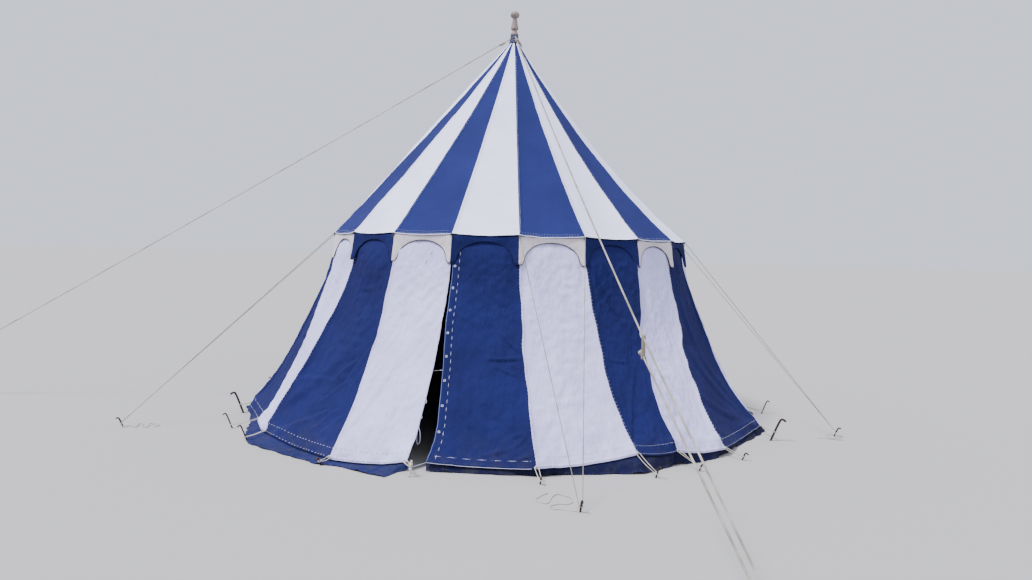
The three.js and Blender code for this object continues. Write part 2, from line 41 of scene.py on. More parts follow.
# sizes of the tent, in metres, the same as in the CAD source; azimuths in degrees from the door
tent = {
    "bays": 20,
    "eaveHeight": 1.8,
    "eaveRadius": 1.803,
    "eaveChord": 0.564,
    "roofTopRadius": 0.05,
    "roofTopHeight": 3.815,
    "roofSag": 0.07,
    "roofSagSide": 110,
    "eaveDip": 0.011,
    "wallTopRadius": 1.745,
    "wallSlope": 0.26,
    "hemRadius": 2.6,
    "hemHeight": 0.055,
    "hemLift": 0.085,
    "hemLiftAzimuth": 43,
    "hemLiftWidth": 17,
    # how far the pegs pull each seam aside at the hem, in degrees
    "seamStray": {-4: 5, -3: 6, -2: -1, -1: 3, 0: -0.8, 1: 3, 2: 4, 3: -5, 4: -11, 5: -3, 6: -2},
    # how far a seam strays two thirds of the way down only, in degrees
    "seamBelly": {-4: 4.5, -2: -0.6, 2: -0.8, 3: -3.2, 4: -2.8, 5: -6},
    "seamReach": {-3: -0.08, -1: 0.04},
    "hemOffset": {-1: -0.028, 0: 0.014},
    "seamWander": {0: 0.003, 4: 0.020, 3: 0.010},
    "wanderElsewhere": 0.007,
    "strayPower": 1.3,
    "reachPower": 2,
    # how far the door flap's free edge stands off its seam: height, width
    "doorGap": [(0.0, 0.116), (0.09, 0.122), (0.22, 0.136), (0.35, 0.131), (0.49, 0.114), (0.71, 0.090),
                (1.01, 0.056), (1.25, 0.040), (1.5, 0.027), (1.66, 0.018), (1.74, 0.0)],
}
bayAngle = 360 / tent["bays"]
clothThickness = 0.0016

# camera: where the photograph was taken from
view = {"lens": 27.512, "sensor": 36, "clip": 200, "distance": 8.3204, "height": 1.6643, "azimuth": 15.38,
        "yaw": 0.596, "pitch": 2.796, "roll": 1.5355}


def unit(vectors):
    return vectors / np.maximum(np.linalg.norm(vectors, axis=-1, keepdims=True), 1e-12)


def polar(radius, azimuth, z):
    # a point at a distance from the pole: (r sin a, -r cos a, z)
    a = np.radians(azimuth)
    radius, a, z = np.broadcast_arrays(radius, a, z)
    return np.stack([radius * np.sin(a), -radius * np.cos(a), z], axis=-1)


def outAndSide(azimuth):
    # the directions away from the pole and to the right of that
    return polar(1, azimuth, 0), polar(1, azimuth + 90, 0)


def newObject(name, data):
    item = bpy.data.objects.new(name, data)
    bpy.context.scene.collection.objects.link(item)
    return item


def makeCamera():
    turn, yaw, pitch, roll = (math.radians(view[key]) for key in ("azimuth", "yaw", "pitch", "roll"))
    right = np.array([math.cos(yaw), -math.sin(yaw), 0])
    up = np.array([math.sin(yaw) * math.sin(pitch), math.cos(yaw) * math.sin(pitch), math.cos(pitch)])
    rolledRight = math.cos(roll) * right + math.sin(roll) * up
    rolledUp = -math.sin(roll) * right + math.cos(roll) * up
    spin = np.array([[math.cos(turn), -math.sin(turn), 0], [math.sin(turn), math.cos(turn), 0], [0, 0, 1]])
    matrix = np.eye(4)
    matrix[:3, :3] = spin @ np.stack([rolledRight, rolledUp, np.cross(rolledRight, rolledUp)], axis=1)
    matrix[:3, 3] = polar(view["distance"], view["azimuth"], view["height"])
    data = bpy.data.cameras.new("photoCamera")
    data.lens, data.sensor_width, data.clip_end = view["lens"], view["sensor"], view["clip"]
    camera = newObject("photoCamera", data)
    camera.matrix_world = Matrix(matrix.tolist())
    bpy.context.scene.camera = camera


makeCamera()


# colours and node trees; a link is given as (node, output name)
def srgb(hexCode):
    # sRGB hex to linear: c / 12.92 below 0.04045, else ((c + 0.055) / 1.055) to the power 2.4
    value = np.array([int(hexCode[i:i + 2], 16) for i in (1, 3, 5)]) / 255
    linear = np.where(value <= 0.04045, value / 12.92, ((value + 0.055) / 1.055) ** 2.4)
    return (*linear.tolist(), 1.0)


def socket(sockets, key):
    # a socket by number, or the one in use among those that share a name
    if isinstance(key, int):
        return sockets[key]
    return next((item for item in sockets if item.name == key and item.enabled), None)


def addNode(tree, kind, settings):
    # settings: socket or property name to a value or a link
    node = tree.nodes.new("ShaderNode" + kind)
    for key, value in settings.items():
        target = socket(node.inputs, key)
        if target is None:
            setattr(node, key, value)
        elif isinstance(value, tuple) and isinstance(value[1], str):
            tree.links.new(socket(value[0].outputs, value[1]), target)
        else:
            target.default_value = value
    return node


def noise(tree, vector, scale, detail, roughness=0.5, distortion=0.0):
    return addNode(tree, "TexNoise", {"Scale": scale, "Detail": detail, "Roughness": roughness,
                                      "Distortion": distortion, "Vector": vector}), "Fac"


def ramp(tree, source, low, high):
    # black up to low, white from high on
    node = addNode(tree, "ValToRGB", {"Fac": source})
    node.color_ramp.elements[0].position, node.color_ramp.elements[1].position = low, high
    return node, "Color"


def multiply(tree, first, second):
    return addNode(tree, "Math", {"operation": "MULTIPLY", 0: first, 1: second}), "Value"


def mix(tree, first, second, share, blend="MIX"):
    return addNode(tree, "Mix", {"data_type": "RGBA", "blend_type": blend, "A": first, "B": second,
                                 "Factor": share}), "Result"


def bump(tree, height, strength, distance, under=None):
    settings = {"Strength": strength, "Distance": distance, "Height": height}
    return addNode(tree, "Bump", settings | ({"Normal": under} if under else {})), "Normal"


def newMaterial(name):
    # returns the material, its tree, and the object's own coordinates
    material = bpy.data.materials.new(name)
    material.use_nodes = True
    tree = material.node_tree
    tree.nodes.clear()
    return material, tree, (addNode(tree, "TexCoord", {}), "Object")


def surface(material, colour, roughness, settings):
    tree = material.node_tree
    shader = addNode(tree, "BsdfPrincipled", {"Base Color": colour, "Roughness": roughness} | settings)
    addNode(tree, "OutputMaterial", {"Surface": (shader, "BSDF")})
    return material


canvas = {
    "crumpleSize": 0.045,
    "threadSpacing": 0.0024,  # real threads lie 0.8 mm apart; drawn three times as coarse to show at all
    "slubSize": 0.012,
    "cloudSize": 0.45,
    "stainHeight": 0.30,
    "stainColour": "#4b4a3a",
    "weaveBump": 0.25,
    "crumpleBump": 0.7,
    "creaseWidth": 0.030,
    "creaseBump": 0.75,
}


def canvasMaterial(name, base, shade, fadedShare, dirt, creasing=1.0):
    # proofed cotton duck: matt, a plain weave with slubs, faded in clouds, grass and mud stains at the foot
    material, tree, place = newMaterial(name)
    flat = (place[0], "UV")
    warp, weft = ((addNode(tree, "TexWave", {
        "wave_type": "BANDS", "bands_direction": way, "Scale": 1 / canvas["threadSpacing"] / 2, "Distortion": 0.6,
        "Detail": 1.0, "Detail Scale": 0.4, "Vector": flat}), "Fac") for way in "XY")
    weave = multiply(tree, warp, weft)
    slub = noise(tree, place, 1 / canvas["slubSize"], 4, 0.65)
    cloud = noise(tree, place, 1 / canvas["cloudSize"], 5, 0.6)
    crumple = noise(tree, place, 1 / canvas["crumpleSize"], 5, 0.62, 0.9)
    tone = mix(tree, srgb(base), srgb(shade), ramp(tree, cloud, 0.35, 0.68))
    grain = mix(tree, tone, ramp(tree, slub, 0.3, 0.75), fadedShare, "MULTIPLY")
    threads = mix(tree, grain, weave, 0.10, "MULTIPLY")
    # stains: strong at the ground, gone at the stain height
    axes = addNode(tree, "SeparateXYZ", {"Vector": place})
    height = addNode(tree, "MapRange", {"From Min": 0.0, "From Max": canvas["stainHeight"], "To Min": 1.0,
                                        "To Max": 0.0, "Value": (axes, "Z")})
    blotch = ramp(tree, noise(tree, place, 9, 6, 0.7), 0.42, 0.7)
    stain = multiply(tree, multiply(tree, (height, "Result"), blotch), dirt)
    colour = mix(tree, threads, srgb(canvas["stainColour"]), stain)
    # creases run down the cloth, four times as long as wide
    along = addNode(tree, "Mapping", {"Scale": (1.0, 0.25, 1.0), "Vector": flat})
    crease = noise(tree, (along, "Vector"), 1 / canvas["creaseWidth"], 4, 0.6, 1.4)
    fine = bump(tree, weave, canvas["weaveBump"], 0.0006)
    coarse = bump(tree, crumple, canvas["crumpleBump"] * creasing, 0.006, fine)
    drawn = bump(tree, crease, canvas["creaseBump"] * creasing, 0.010, coarse)
    return surface(material, colour, 0.95, {"Specular IOR Level": 0.16, "Normal": drawn})


def ropeMaterial(name, base, shade):
    # laid hemp rope: dull and fibrous, darker between the strands where dirt stays
    material, tree, place = newMaterial(name)
    fibre = noise(tree, place, 260, 3, 0.7)
    mask = ramp(tree, multiply(tree, fibre, noise(tree, place, 7, 3)), 0.12, 0.42)
    return surface(material, mix(tree, srgb(shade), srgb(base), mask), 0.95,
                   {"Specular IOR Level": 0.2, "Normal": bump(tree, fibre, 0.5, 0.0006)})


def woodMaterial(name, base, shade, roughness, grainSize):
    # turned ash or pine: growth rings stretched along the length, oiled or left to the weather
    material, tree, place = newMaterial(name)
    stretch = addNode(tree, "Mapping", {"Scale": (1.0, 1.0, 0.08), "Vector": place})
    grain = noise(tree, (stretch, "Vector"), 1 / grainSize, 5, 0.6, 0.8)
    return surface(material, mix(tree, srgb(shade), srgb(base), ramp(tree, grain, 0.35, 0.65)), roughness,
                   {"Normal": bump(tree, grain, 0.25, 0.001)})


def ironMaterial(name):
    # forged mild steel: black scale, rubbed bright in places, brown rust in patches
    material, tree, place = newMaterial(name)
    patch = noise(tree, place, 28, 6, 0.7)
    return surface(material, mix(tree, srgb("#242220"), srgb("#4a362b"), ramp(tree, patch, 0.45, 0.6)), 0.7,
                   {"Metallic": 0.6, "Normal": bump(tree, patch, 0.4, 0.001)})


finishes = {
    # the roof's blue and white are lighter than the same cloth on the walls: light from the sky above, painted into
    # the colours
    "roofBlue": canvasMaterial("blue cotton duck, roof", "#252c64", "#202758", 0.10, 0.0, 0.25),
    "roofWhite": canvasMaterial("white cotton duck, roof", "#e9e9ff", "#dcdcfa", 0.05, 0.0, 0.25),
    "wallBlue": canvasMaterial("blue cotton duck, wall", "#1b2055", "#161a47", 0.12, 0.22),
    "wallWhite": canvasMaterial("white cotton duck, wall", "#d2cff7", "#c2bfe9", 0.06, 0.30),
    "valanceWhite": canvasMaterial("unbleached cotton duck, valance", "#dcd4d8", "#cbc3c6", 0.08, 0.0),
    # the mud flap in two copies of one blue cloth: the lighter one is painted light where it lies in the sun, the
    # darker one painted shade
    "flapPaintedSunlit": canvasMaterial("mud flap of blue cotton duck, painted sunlit", "#252b60", "#1b2150", 0.25, 0.3),
    "flapPaintedShade": canvasMaterial("mud flap of blue cotton duck, painted shade", "#14173e", "#101230", 0.15, 0.30),
    "hemp": ropeMaterial("laid hemp", "#d6cfc2", "#8f8778"),
    # dark hemp: weathered on the eave knots; painted shade in the door's eyelet holes and in the tear's upper
    # stitches
    "grimeAndShadeHemp": ropeMaterial("laid hemp, weathered and painted shade", "#57534c", "#2e2b27"),
    # a greyer, lighter blue than the roof cloth
    "crownCanvas": canvasMaterial("grey-blue cotton duck, crown", "#55576e", "#3f4158", 0.2, 0.0),
    # the cream bays' arch binding is coloured dark: a painted shadow line under the arch
    "bindingWhite": canvasMaterial("cotton tape, dark with painted shadow", "#524d48", "#45403b", 0.1, 0.0),
    # a pale blue for the door flap's folded edge: a painted highlight
    "bindingSunny": canvasMaterial("blue cotton tape, painted highlight", "#7d8cc4", "#6a79b4", 0.1, 0.0),
    "bindingBlue": canvasMaterial("blue cotton tape", "#141a44", "#10163a", 0.1, 0.0),
    "stormHemp": ropeMaterial("laid hemp, a season old", "#bcb6ac", "#6f685d"),
    # darker and bluer than the other hemp: painted shade at the crown under the finial
    "crownHemp": ropeMaterial("laid hemp, painted shade at the crown", "#74748c", "#484860"),
    "greyHemp": ropeMaterial("laid hemp, greyed by the weather", "#aaa295", "#5f574b"),
    "dullThread": ropeMaterial("linen thread, greyed", "#a9a6ad", "#85828c"),
    # pure white for the lit part of the mended tear's stitches: painted light
    "whiteThread": ropeMaterial("linen thread, painted lit", "#ffffff", "#f4f4ff"),
    "thread": ropeMaterial("waxed linen thread", "#dcdcec", "#b3b6d0"),
    "oiledWood": woodMaterial("turned ash, oiled", "#897a74", "#695b54", 0.5, 0.02),
    "paleWood": woodMaterial("split ash, bare", "#cfc4b4", "#a99b88", 0.85, 0.010),
    "greyWood": woodMaterial("ash, weathered grey", "#8f8373", "#655c50", 0.8, 0.012),
    "iron": ironMaterial("forged iron, rusty"),
}
print("stage: materials made")


# meshes
def newPiece(name, points, faces, materials, faceMaterials=None, uv=None, smooth=True):
    # points: N x 3; faces: one array or several, M x 4 or M x 3 indices; uv: N x 2
    mesh = bpy.data.meshes.new(name)
    groups = faces if isinstance(faces, list) else [faces]
    corners = np.concatenate([group.ravel() for group in groups]).astype(np.int32)
    sides = np.concatenate([np.full(len(group), group.shape[1]) for group in groups])
    mesh.vertices.add(len(points))
    mesh.vertices.foreach_set("co", np.asarray(points, np.float32).ravel())
    mesh.loops.add(len(corners))
    mesh.loops.foreach_set("vertex_index", corners)
    mesh.polygons.add(len(sides))
    mesh.polygons.foreach_set("loop_start", (np.cumsum(sides) - sides).astype(np.int32))
    mesh.polygons.foreach_set("use_smooth", np.full(len(sides), smooth))
    if faceMaterials is not None:
        mesh.polygons.foreach_set("material_index", np.asarray(faceMaterials, np.int32))
    if uv is not None:
        layer = mesh.uv_layers.new(name="cloth")
        layer.data.foreach_set("uv", np.asarray(uv, np.float32)[corners].ravel())
    mesh.update(calc_edges=True)
    for material in materials:
        mesh.materials.append(material)
    piece = newObject(name, mesh)
    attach(piece, "root")
    return piece


def declare(piece, slot, *nodes):
    # the slot of a piece, which is not used, and the solids that it stands for, which are hidden
    if nodes:
        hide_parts(*nodes)
    return piece


def gridFaces(rows, columns, wrap=False, closed=False):
    # quads of a grid whose columns run to the right and whose rows run upwards, seen from outside
    row, column = np.meshgrid(np.arange(rows if closed else rows - 1),
                              np.arange(columns if wrap else columns - 1), indexing="ij")
    after, above = (column + 1) % columns, (row + 1) % rows
    return np.stack([row * columns + column, row * columns + after, above * columns + after,
                     above * columns + column], axis=-1).reshape(-1, 4)


def gridNormals(points, wrap=False):
    # the cross product of the step along a row and the step up a column
    if wrap:
        across = np.roll(points, -1, axis=1) - np.roll(points, 1, axis=1)
    else:
        across = np.gradient(points, axis=1)
    return unit(np.cross(across, np.gradient(points, axis=0)))


def clothPiece(name, points, materials, faceMaterials, uv):
    # a thickened sheet over a grid of points
    piece = newPiece(name, points.reshape(-1, 3), gridFaces(*points.shape[:2]), materials, faceMaterials,
                     uv.reshape(-1, 2))
    solid = piece.modifiers.new("cloth thickness", "SOLIDIFY")
    solid.thickness, solid.offset, solid.use_even_offset = clothThickness, -1, False
    return piece


def circle(count):
    return np.linspace(0, 2 * np.pi, count, endpoint=False)


def ringPoints(centre, radius, turn, side, up):
    return centre + radius * (np.cos(turn) * side + np.sin(turn) * up)


def arcLengths(path):
    return np.concatenate([[0], np.cumsum(np.linalg.norm(np.diff(path, axis=0), axis=1))])


def valuesAt(places, along, values):
    # columns of values known along a line, at other places on it
    return np.stack([np.interp(places, along, values[:, i]) for i in range(3)], axis=-1)


def waves(points, size, seed, stretch=(1, 1, 1)):
    # a sum of nine plane waves with random directions, wavelengths near size, about one high
    count = 9
    random = np.random.default_rng(seed)
    directions = unit(random.normal(size=(count, 3)))
    numbers = 2 * np.pi / (size * random.uniform(0.7, 1.5, count))
    phases = random.uniform(0, 2 * np.pi, count)
    scaled = points * np.asarray(stretch)
    total = np.zeros(points.shape[:-1])
    for direction, number, phase in zip(directions, numbers, phases):
        total += np.cos(scaled @ (direction * number) + phase)
    return total * math.sqrt(2 / count) * 0.6


def creased(points, size, seed):
    # like waves, but round ridges with sharp valleys between them: the absolute value of the sum
    return np.abs(waves(points, size, seed)) - 0.5


def layered(shape, points, *layers):
    # a sum of waves or creases: each layer is its height, then size, seed and stretch
    return sum(height * shape(points, *how) for height, *how in layers)


def rays(x, y, reach, count, phase):
    # folds that fan out from a corner where the cloth is pulled, sharp between round backs:
    # |sin(count * angle)|, strongest near the corner
    distance = np.hypot(x, y)
    angle = np.arctan2(y, np.abs(x))
    angle = angle + 0.10 * np.sin(distance * 7 + phase)
    folds = np.abs(np.sin(count * angle + phase)) - 0.6
    uneven = 0.75 + 0.25 * np.sin(2.7 * count * angle + 2 * phase)
    return folds * uneven * np.exp(-distance / reach) * (distance / (distance + 0.05))


def crossFrame(axis):
    # two directions square to an axis and to each other
    side = np.cross(axis, (0, 0, 1) if abs(axis[2]) < 0.9 else (1, 0, 0))
    side = side / np.linalg.norm(side)
    return side, np.cross(axis, side)


def tubeArrays(path, radius, sides=10, strands=0, lay=0.036, closed=False):
    # a ring of points at each place on the path, its frame turning as little as it can; with strands, the
    # radius swells and sinks as 1 + 0.13 cos(strands * angle), and the pattern turns once for each lay
    path = np.asarray(path, float)
    if closed:
        tangents = unit(np.roll(path, -1, axis=0) - np.roll(path, 1, axis=0))
    else:
        tangents = unit(np.gradient(path, axis=0))
    across = [crossFrame(tangents[0])[0]]
    for tangent in tangents[1:]:
        side = across[-1] - tangent * (across[-1] @ tangent)
        across.append(side / np.linalg.norm(side))
    across = np.array(across)
    up = np.cross(tangents, across)
    angle = circle(sides)[None, :]
    turn = 2 * np.pi * arcLengths(path)[:, None] / lay
    lobes = 1 + 0.13 * np.cos(strands * (angle - turn)) - 0.05 if strands else np.ones((len(path), sides))
    angle = angle[..., None]
    points = ringPoints(path[:, None], (radius * lobes)[..., None], angle, across[:, None], up[:, None])
    points, faces = points.reshape(-1, 3), gridFaces(len(path), sides, True, closed)
    if closed:
        return points, faces, np.zeros((0, 3), int)
    # a fan of triangles closes each end
    first, tip, side = len(points), len(points) - sides, np.arange(sides)
    after = (side + 1) % sides
    foot = np.stack([np.full(sides, first), after, side], axis=-1)
    head = np.stack([np.full(sides, first + 1), tip + side, tip + after], axis=-1)
    return np.concatenate([points, path[[0, -1]]]), faces, np.concatenate([foot, head])


def joined(parts):
    # arrays of points and faces, one set after the other, as one set
    points, *faces = zip(*parts)
    starts = np.cumsum([0] + [len(item) for item in points[:-1]])
    return np.concatenate(points), [np.concatenate([item + start for item, start in zip(group, starts)])
                                    for group in faces]


def joinTubes(name, tubes, finish):
    # nothing goes under the ground
    points, faces = joined(tubes)
    points[:, 2] = np.maximum(points[:, 2], 0)
    return newPiece(name, points, faces, [finishes[finish]])


def splinePath(points, step):
    # a centripetal Catmull-Rom curve through the points, sampled about every step
    points = np.asarray(points, float)
    ends = np.concatenate([[2 * points[0] - points[1]], points, [2 * points[-1] - points[-2]]])
    knots = np.concatenate([[0], np.cumsum(np.sqrt(np.linalg.norm(np.diff(ends, axis=0), axis=1)))])
    pieces = []
    for i in range(1, len(ends) - 2):
        count = max(2, math.ceil(np.linalg.norm(ends[i + 1] - ends[i]) / step))
        t = np.linspace(knots[i], knots[i + 1], count, endpoint=False)[:, None]

        def blend(a, b, ta, tb):
            return ((tb - t) * a + (t - ta) * b) / (tb - ta)

        one = [blend(ends[i + j - 1], ends[i + j], knots[i + j - 1], knots[i + j]) for j in range(3)]
        two = [blend(one[j], one[j + 1], knots[i + j - 1], knots[i + j + 1]) for j in range(2)]
        pieces.append(blend(*two, knots[i], knots[i + 1]))
    return np.concatenate(pieces + [points[-1:]])


def linePath(points, step):
    # straight runs through the points, sampled about every step
    points = np.asarray(points, float)
    pieces = []
    for start, end in zip(points[:-1], points[1:]):
        count = max(1, math.ceil(np.linalg.norm(end - start) / step))
        pieces.append(start + (end - start) * np.linspace(0, 1, count, endpoint=False)[:, None])
    return np.concatenate(pieces + [points[-1:]])


def coil(centre, axis, radius, turns, pitch, phase=0.0):
    # a helix about an axis: turns of a rope laid side by side
    axis = np.asarray(axis) / np.linalg.norm(axis)
    a = np.linspace(0, turns * 2 * np.pi, int(turns * 20) + 1)[:, None] + phase
    travel = (np.linspace(-0.5, 0.5, len(a)) * turns * pitch)[:, None]
    return ringPoints(np.asarray(centre) + axis * travel, radius, a, *crossFrame(axis))


# the lines of the tent, worked out as in the CAD
def seamNumber(seam):
    # from -10 to 9, the door flap to the right of seam 0
    return (np.asarray(seam, float) + tent["bays"] / 2) % tent["bays"] - tent["bays"] / 2


def alongSeams(table, seam, elsewhere=0):
    # values known at whole seams, with straight lines between them
    whole = range(-10, 11)
    return np.interp(seamNumber(seam), whole, [table.get(k, elsewhere) for k in whole])


def hemHeight(seam):
    # the hem is lifted at one side: lift * exp(-off squared)
    table = {}
    for k in range(-10, 11):
        off = (k * bayAngle - tent["hemLiftAzimuth"]) / tent["hemLiftWidth"]
        table[k] = tent["hemHeight"] + tent["hemLift"] * math.exp(-(off ** 2)) + tent["hemOffset"].get(k, 0)
    return alongSeams(table, seam)


def wallRadius(z):
    depth = np.maximum(0, tent["eaveHeight"] - z)
    full = tent["eaveHeight"] - tent["hemHeight"]
    bend = (tent["hemRadius"] - tent["wallTopRadius"] - tent["wallSlope"] * full) / full ** 2
    return tent["wallTopRadius"] + tent["wallSlope"] * depth + bend * depth ** 2


def wallSeam(seam, z):
    # the pegs pull the seams aside, and they wander a little on the way down: sin(2 pi z / 0.62) and a
    # quicker wave, strongest halfway; the belly is 6.75 depth squared (1 - depth), one high at two thirds
    stray, reach, belly = (alongSeams(tent[key], seam) for key in ("seamStray", "seamReach", "seamBelly"))
    depth = np.clip((tent["eaveHeight"] - z) / tent["eaveHeight"], 0, 1)
    radius = wallRadius(z) + reach * depth ** tent["reachPower"]
    phase = 2.3 * seamNumber(seam)
    wander = alongSeams(tent["seamWander"], seam, tent["wanderElsewhere"]) * np.sin(np.pi * depth) ** 2
    wave = np.sin(2 * np.pi * z / 0.62 + phase) + 0.45 * np.sin(2 * np.pi * z / 0.23 + 2 * phase)
    aside = (stray * depth ** tent["strayPower"] + belly * 6.75 * depth ** 2 * (1 - depth)
             + np.degrees(wander * wave / radius))
    return polar(radius, np.asarray(seam) * bayAngle + aside, z)


def roofShare(radius):
    # 0 at the crown, 1 at the eave
    return (radius - tent["roofTopRadius"]) / (tent["eaveRadius"] - tent["roofTopRadius"])


def roofSeam(seam, radius):
    share, azimuth = roofShare(radius), np.asarray(seam, float) * bayAngle
    sag = tent["roofSag"] * (1 + np.cos(np.radians(azimuth - tent["roofSagSide"])))
    height = tent["roofTopHeight"] + (tent["eaveHeight"] - tent["roofTopHeight"]) * share
    return polar(radius, azimuth, height - sag * 4 * share * (1 - share))


def eaveDip(across, radius):
    return tent["eaveDip"] * 4 * across * (1 - across) * roofShare(radius) ** 3


def doorShare(z):
    return np.interp(z, *zip(*tent["doorGap"])) / (wallRadius(z) * math.radians(bayAngle))


# a raised felled seam at the left side of each bay
seamFinish = {"band": 0.016, "step": 0.0015, "height": 0.0016}


def bayStations(widths, columns):
    # widths: one for each row; returns the shares across and how far each place stands proud
    widths = np.asarray(widths)[:, None]
    band = np.minimum(seamFinish["band"] / widths, 0.25)
    step = np.minimum(seamFinish["step"] / widths, 0.05)
    start = band + step
    rest = start + (1 - start) * np.linspace(0, 1, columns)[None, 1:]
    shares = np.concatenate([step, band, start, rest], axis=1)
    proud = np.zeros_like(shares)
    proud[:, :2] = seamFinish["height"]
    return shares, proud


def rowShares(length, bands, rows):
    # even rows with extra ones at the edges of the stitched bands, as shares of the length
    return np.unique(np.round(np.concatenate([np.linspace(0, 1, rows), np.asarray(bands) / length]), 6))


# roof: one sewn sheet of twenty gores
roof = {"rows": 92, "columns": 17, "billow": 0.010, "edgeBand": 0.045, "rowPitch": 0.024, "rayHeight": 0.0045,
        "stitch": (0.014, 0.0034), "bandRows": (0.016, 0.040), "bandStitch": (0.011, 0.0030), "piping": 0.0042,
        "folds": [(0.0030, 0.42, 11, (1, 1, 0.45)), (0.0012, 0.13, 12, (1, 1, 0.6)), (0.0005, 0.05, 13)],
        "uvWidth": 0.6, "pucker": (0.0011, 0.03, (0.09, 14)), "curl": (0.0016, 0.08, (0.11, 15)), "curlMean": 0.002,
        # how far the gathering at the crown has turned a seam there, in degrees
        "crownStray": {-5: 8, -4: 19, -3: 14, -2: 7, -1: 3, 4: -3, 5: -4, 6: -3}, "gathered": 1.5}


def crownSeam(seam, radius):
    # a roof seam, turned aside near the crown
    nudge = 0.05
    turn = roof["crownStray"].get(int(seamNumber(seam)), 0) / bayAngle
    line, beside = roofSeam(seam, radius), roofSeam(seam + nudge, radius)
    gathered = (1 - roofShare(radius)) ** roof["gathered"]
    return line + (beside - line) * (gathered * turn / nudge)[:, None]


def roofSheet():
    bays = tent["bays"]
    slant = math.hypot(tent["eaveRadius"] - tent["roofTopRadius"], tent["roofTopHeight"] - tent["eaveHeight"])
    shares = rowShares(slant, [0.002, roof["edgeBand"], roof["edgeBand"] + 0.002], roof["rows"])
    radius = tent["eaveRadius"] + (tent["roofTopRadius"] - tent["eaveRadius"]) * shares
    slantAt = slant * shares
    height = slantAt[:, None]
    grids, materialAt, uvs = [], [], []
    for bay in range(bays):
        left, right = crownSeam(bay, radius), crownSeam(bay + 1, radius)
        widths = np.linalg.norm(right - left, axis=-1)
        across, proud = bayStations(widths, roof["columns"])
        points = left[:, None] + (right - left)[:, None] * across[..., None]
        points[..., 2] -= eaveDip(across, radius[:, None])
        outward = unit(np.cross(right - left, np.gradient(left, axis=0)))[:, None]
        width = widths[:, None]
        side = np.minimum(across, 1 - across) * width
        hollow = roof["billow"] * np.sin(np.pi * across) * (width / tent["eaveChord"])
        lift = proud - hollow * np.clip(height / 0.35, 0, 1)
        fade = np.clip(width / 0.2, 0, 1)
        for away, corner in ((across, bay), (1 - across, bay + 1)):
            lift += roof["rayHeight"] * rays(away * width, height + 0.02, 0.30, 9, 2.1 * corner)
        lift += fade * layered(waves, points, *roof["folds"])
        # the seams pucker and the eave curls
        high, reach, how = roof["pucker"]
        lift += high * np.exp(-side / reach) * waves(points, *how) * fade
        high, reach, how = roof["curl"]
        lift += np.exp(-height / reach) * (roof["curlMean"] + high * waves(points, *how))
        lift += (height < roof["edgeBand"]) * 0.0010
        grids.append(points + outward * lift[..., None])
        materialAt += [bay % 2] * across.shape[1]
        uvs.append(np.stack([bay * roof["uvWidth"] + across * width, np.broadcast_to(height, across.shape)], axis=-1))
    # the first column again at the end, so that the texture has no jump there
    points = np.concatenate(grids + [grids[0][:, :1]], axis=1)
    uv = np.concatenate(uvs + [uvs[0][:, :1] + [bays * roof["uvWidth"], 0]], axis=1)
    piece = clothPiece("roof_canvas", points, [finishes["roofWhite"], finishes["roofBlue"]],
                       np.tile(materialAt, len(points) - 1), uv)
    declare(piece, "white_canvas", "roof_white_gores", "roof_blue_gores")
    return {"points": points[:, :-1], "along": slantAt, "normals": gridNormals(points)[:, :-1],
            "perBay": grids[0].shape[1]}


roofCloth = roofSheet()
print("stage: roof sewn")


# stitches: an eight-sided grain of thread each; a line is (points, normals)
def stitchArrays(centres, tangents, normals, length, width):
    # six points: half the length each way along the row, half the width each way across, and up and down
    across = np.cross(tangents, normals)
    half = np.stack([tangents * length / 2, -tangents * length / 2, across * width / 2, -across * width / 2,
                     normals * width / 2, -normals * width / 4], axis=1)
    faces = np.array([[0, 2, 4], [2, 1, 4], [1, 3, 4], [3, 0, 4], [2, 0, 5], [1, 2, 5], [3, 1, 5], [0, 3, 5]])
    offsets = np.arange(len(centres))[:, None, None] * 6
    return (centres[:, None] + half).reshape(-1, 3), (faces[None] + offsets).reshape(-1, 3)


def stitchRow(line, pitch, size, lift=0.0010, start=0, stop=None):
    # stitches of a length and width every pitch along a line, between two of its points
    points, normals = (values[start:stop] for values in line)
    along = arcLengths(points)
    places = np.arange(pitch / 2, along[-1], pitch)
    if len(places) < 2:
        return []
    centres, upward = valuesAt(places, along, points), unit(valuesAt(places, along, normals))
    return [stitchArrays(centres + upward * lift, unit(np.gradient(centres, axis=0)), upward, *size)]


def addStitching(name, rows, thread):
    points, faces = joined(rows)
    declare(newPiece(name, points, faces, [finishes[thread]], smooth=False), "rope")


def columnLine(cloth, column, share):
    # the line up a column, moved a share of the way to the next one
    after = (column + 1) % cloth["points"].shape[1]
    points = cloth["points"][:, column] * (1 - share) + cloth["points"][:, after] * share
    return points, cloth["normals"][:, column]


def insetLine(cloth, inset):
    # the line up the cloth at a distance from its left edge
    points = cloth["points"]
    steps = np.linalg.norm(np.diff(points[:, :16], axis=1), axis=2)
    along = np.concatenate([np.zeros((len(steps), 1)), np.cumsum(steps, axis=1)], axis=1)
    before, row = (along < inset).sum(axis=1) - 1, np.arange(len(points))
    share = ((inset - along[row, before]) / (along[row, before + 1] - along[row, before]))[:, None]
    return points[row, before] * (1 - share) + points[row, before + 1] * share, cloth["normals"][row, before]


def rowLine(cloth, height, fromColumn, toColumn):
    # the line across the cloth at a height above its lower edge
    along, picked = cloth["along"], slice(fromColumn, toColumn)
    upper = int(np.clip(np.searchsorted(along, height), 1, len(along) - 1))
    share = (height - along[upper - 1]) / (along[upper] - along[upper - 1])
    points = cloth["points"][upper - 1, picked] * (1 - share) + cloth["points"][upper, picked] * share
    return points, cloth["normals"][upper, picked]


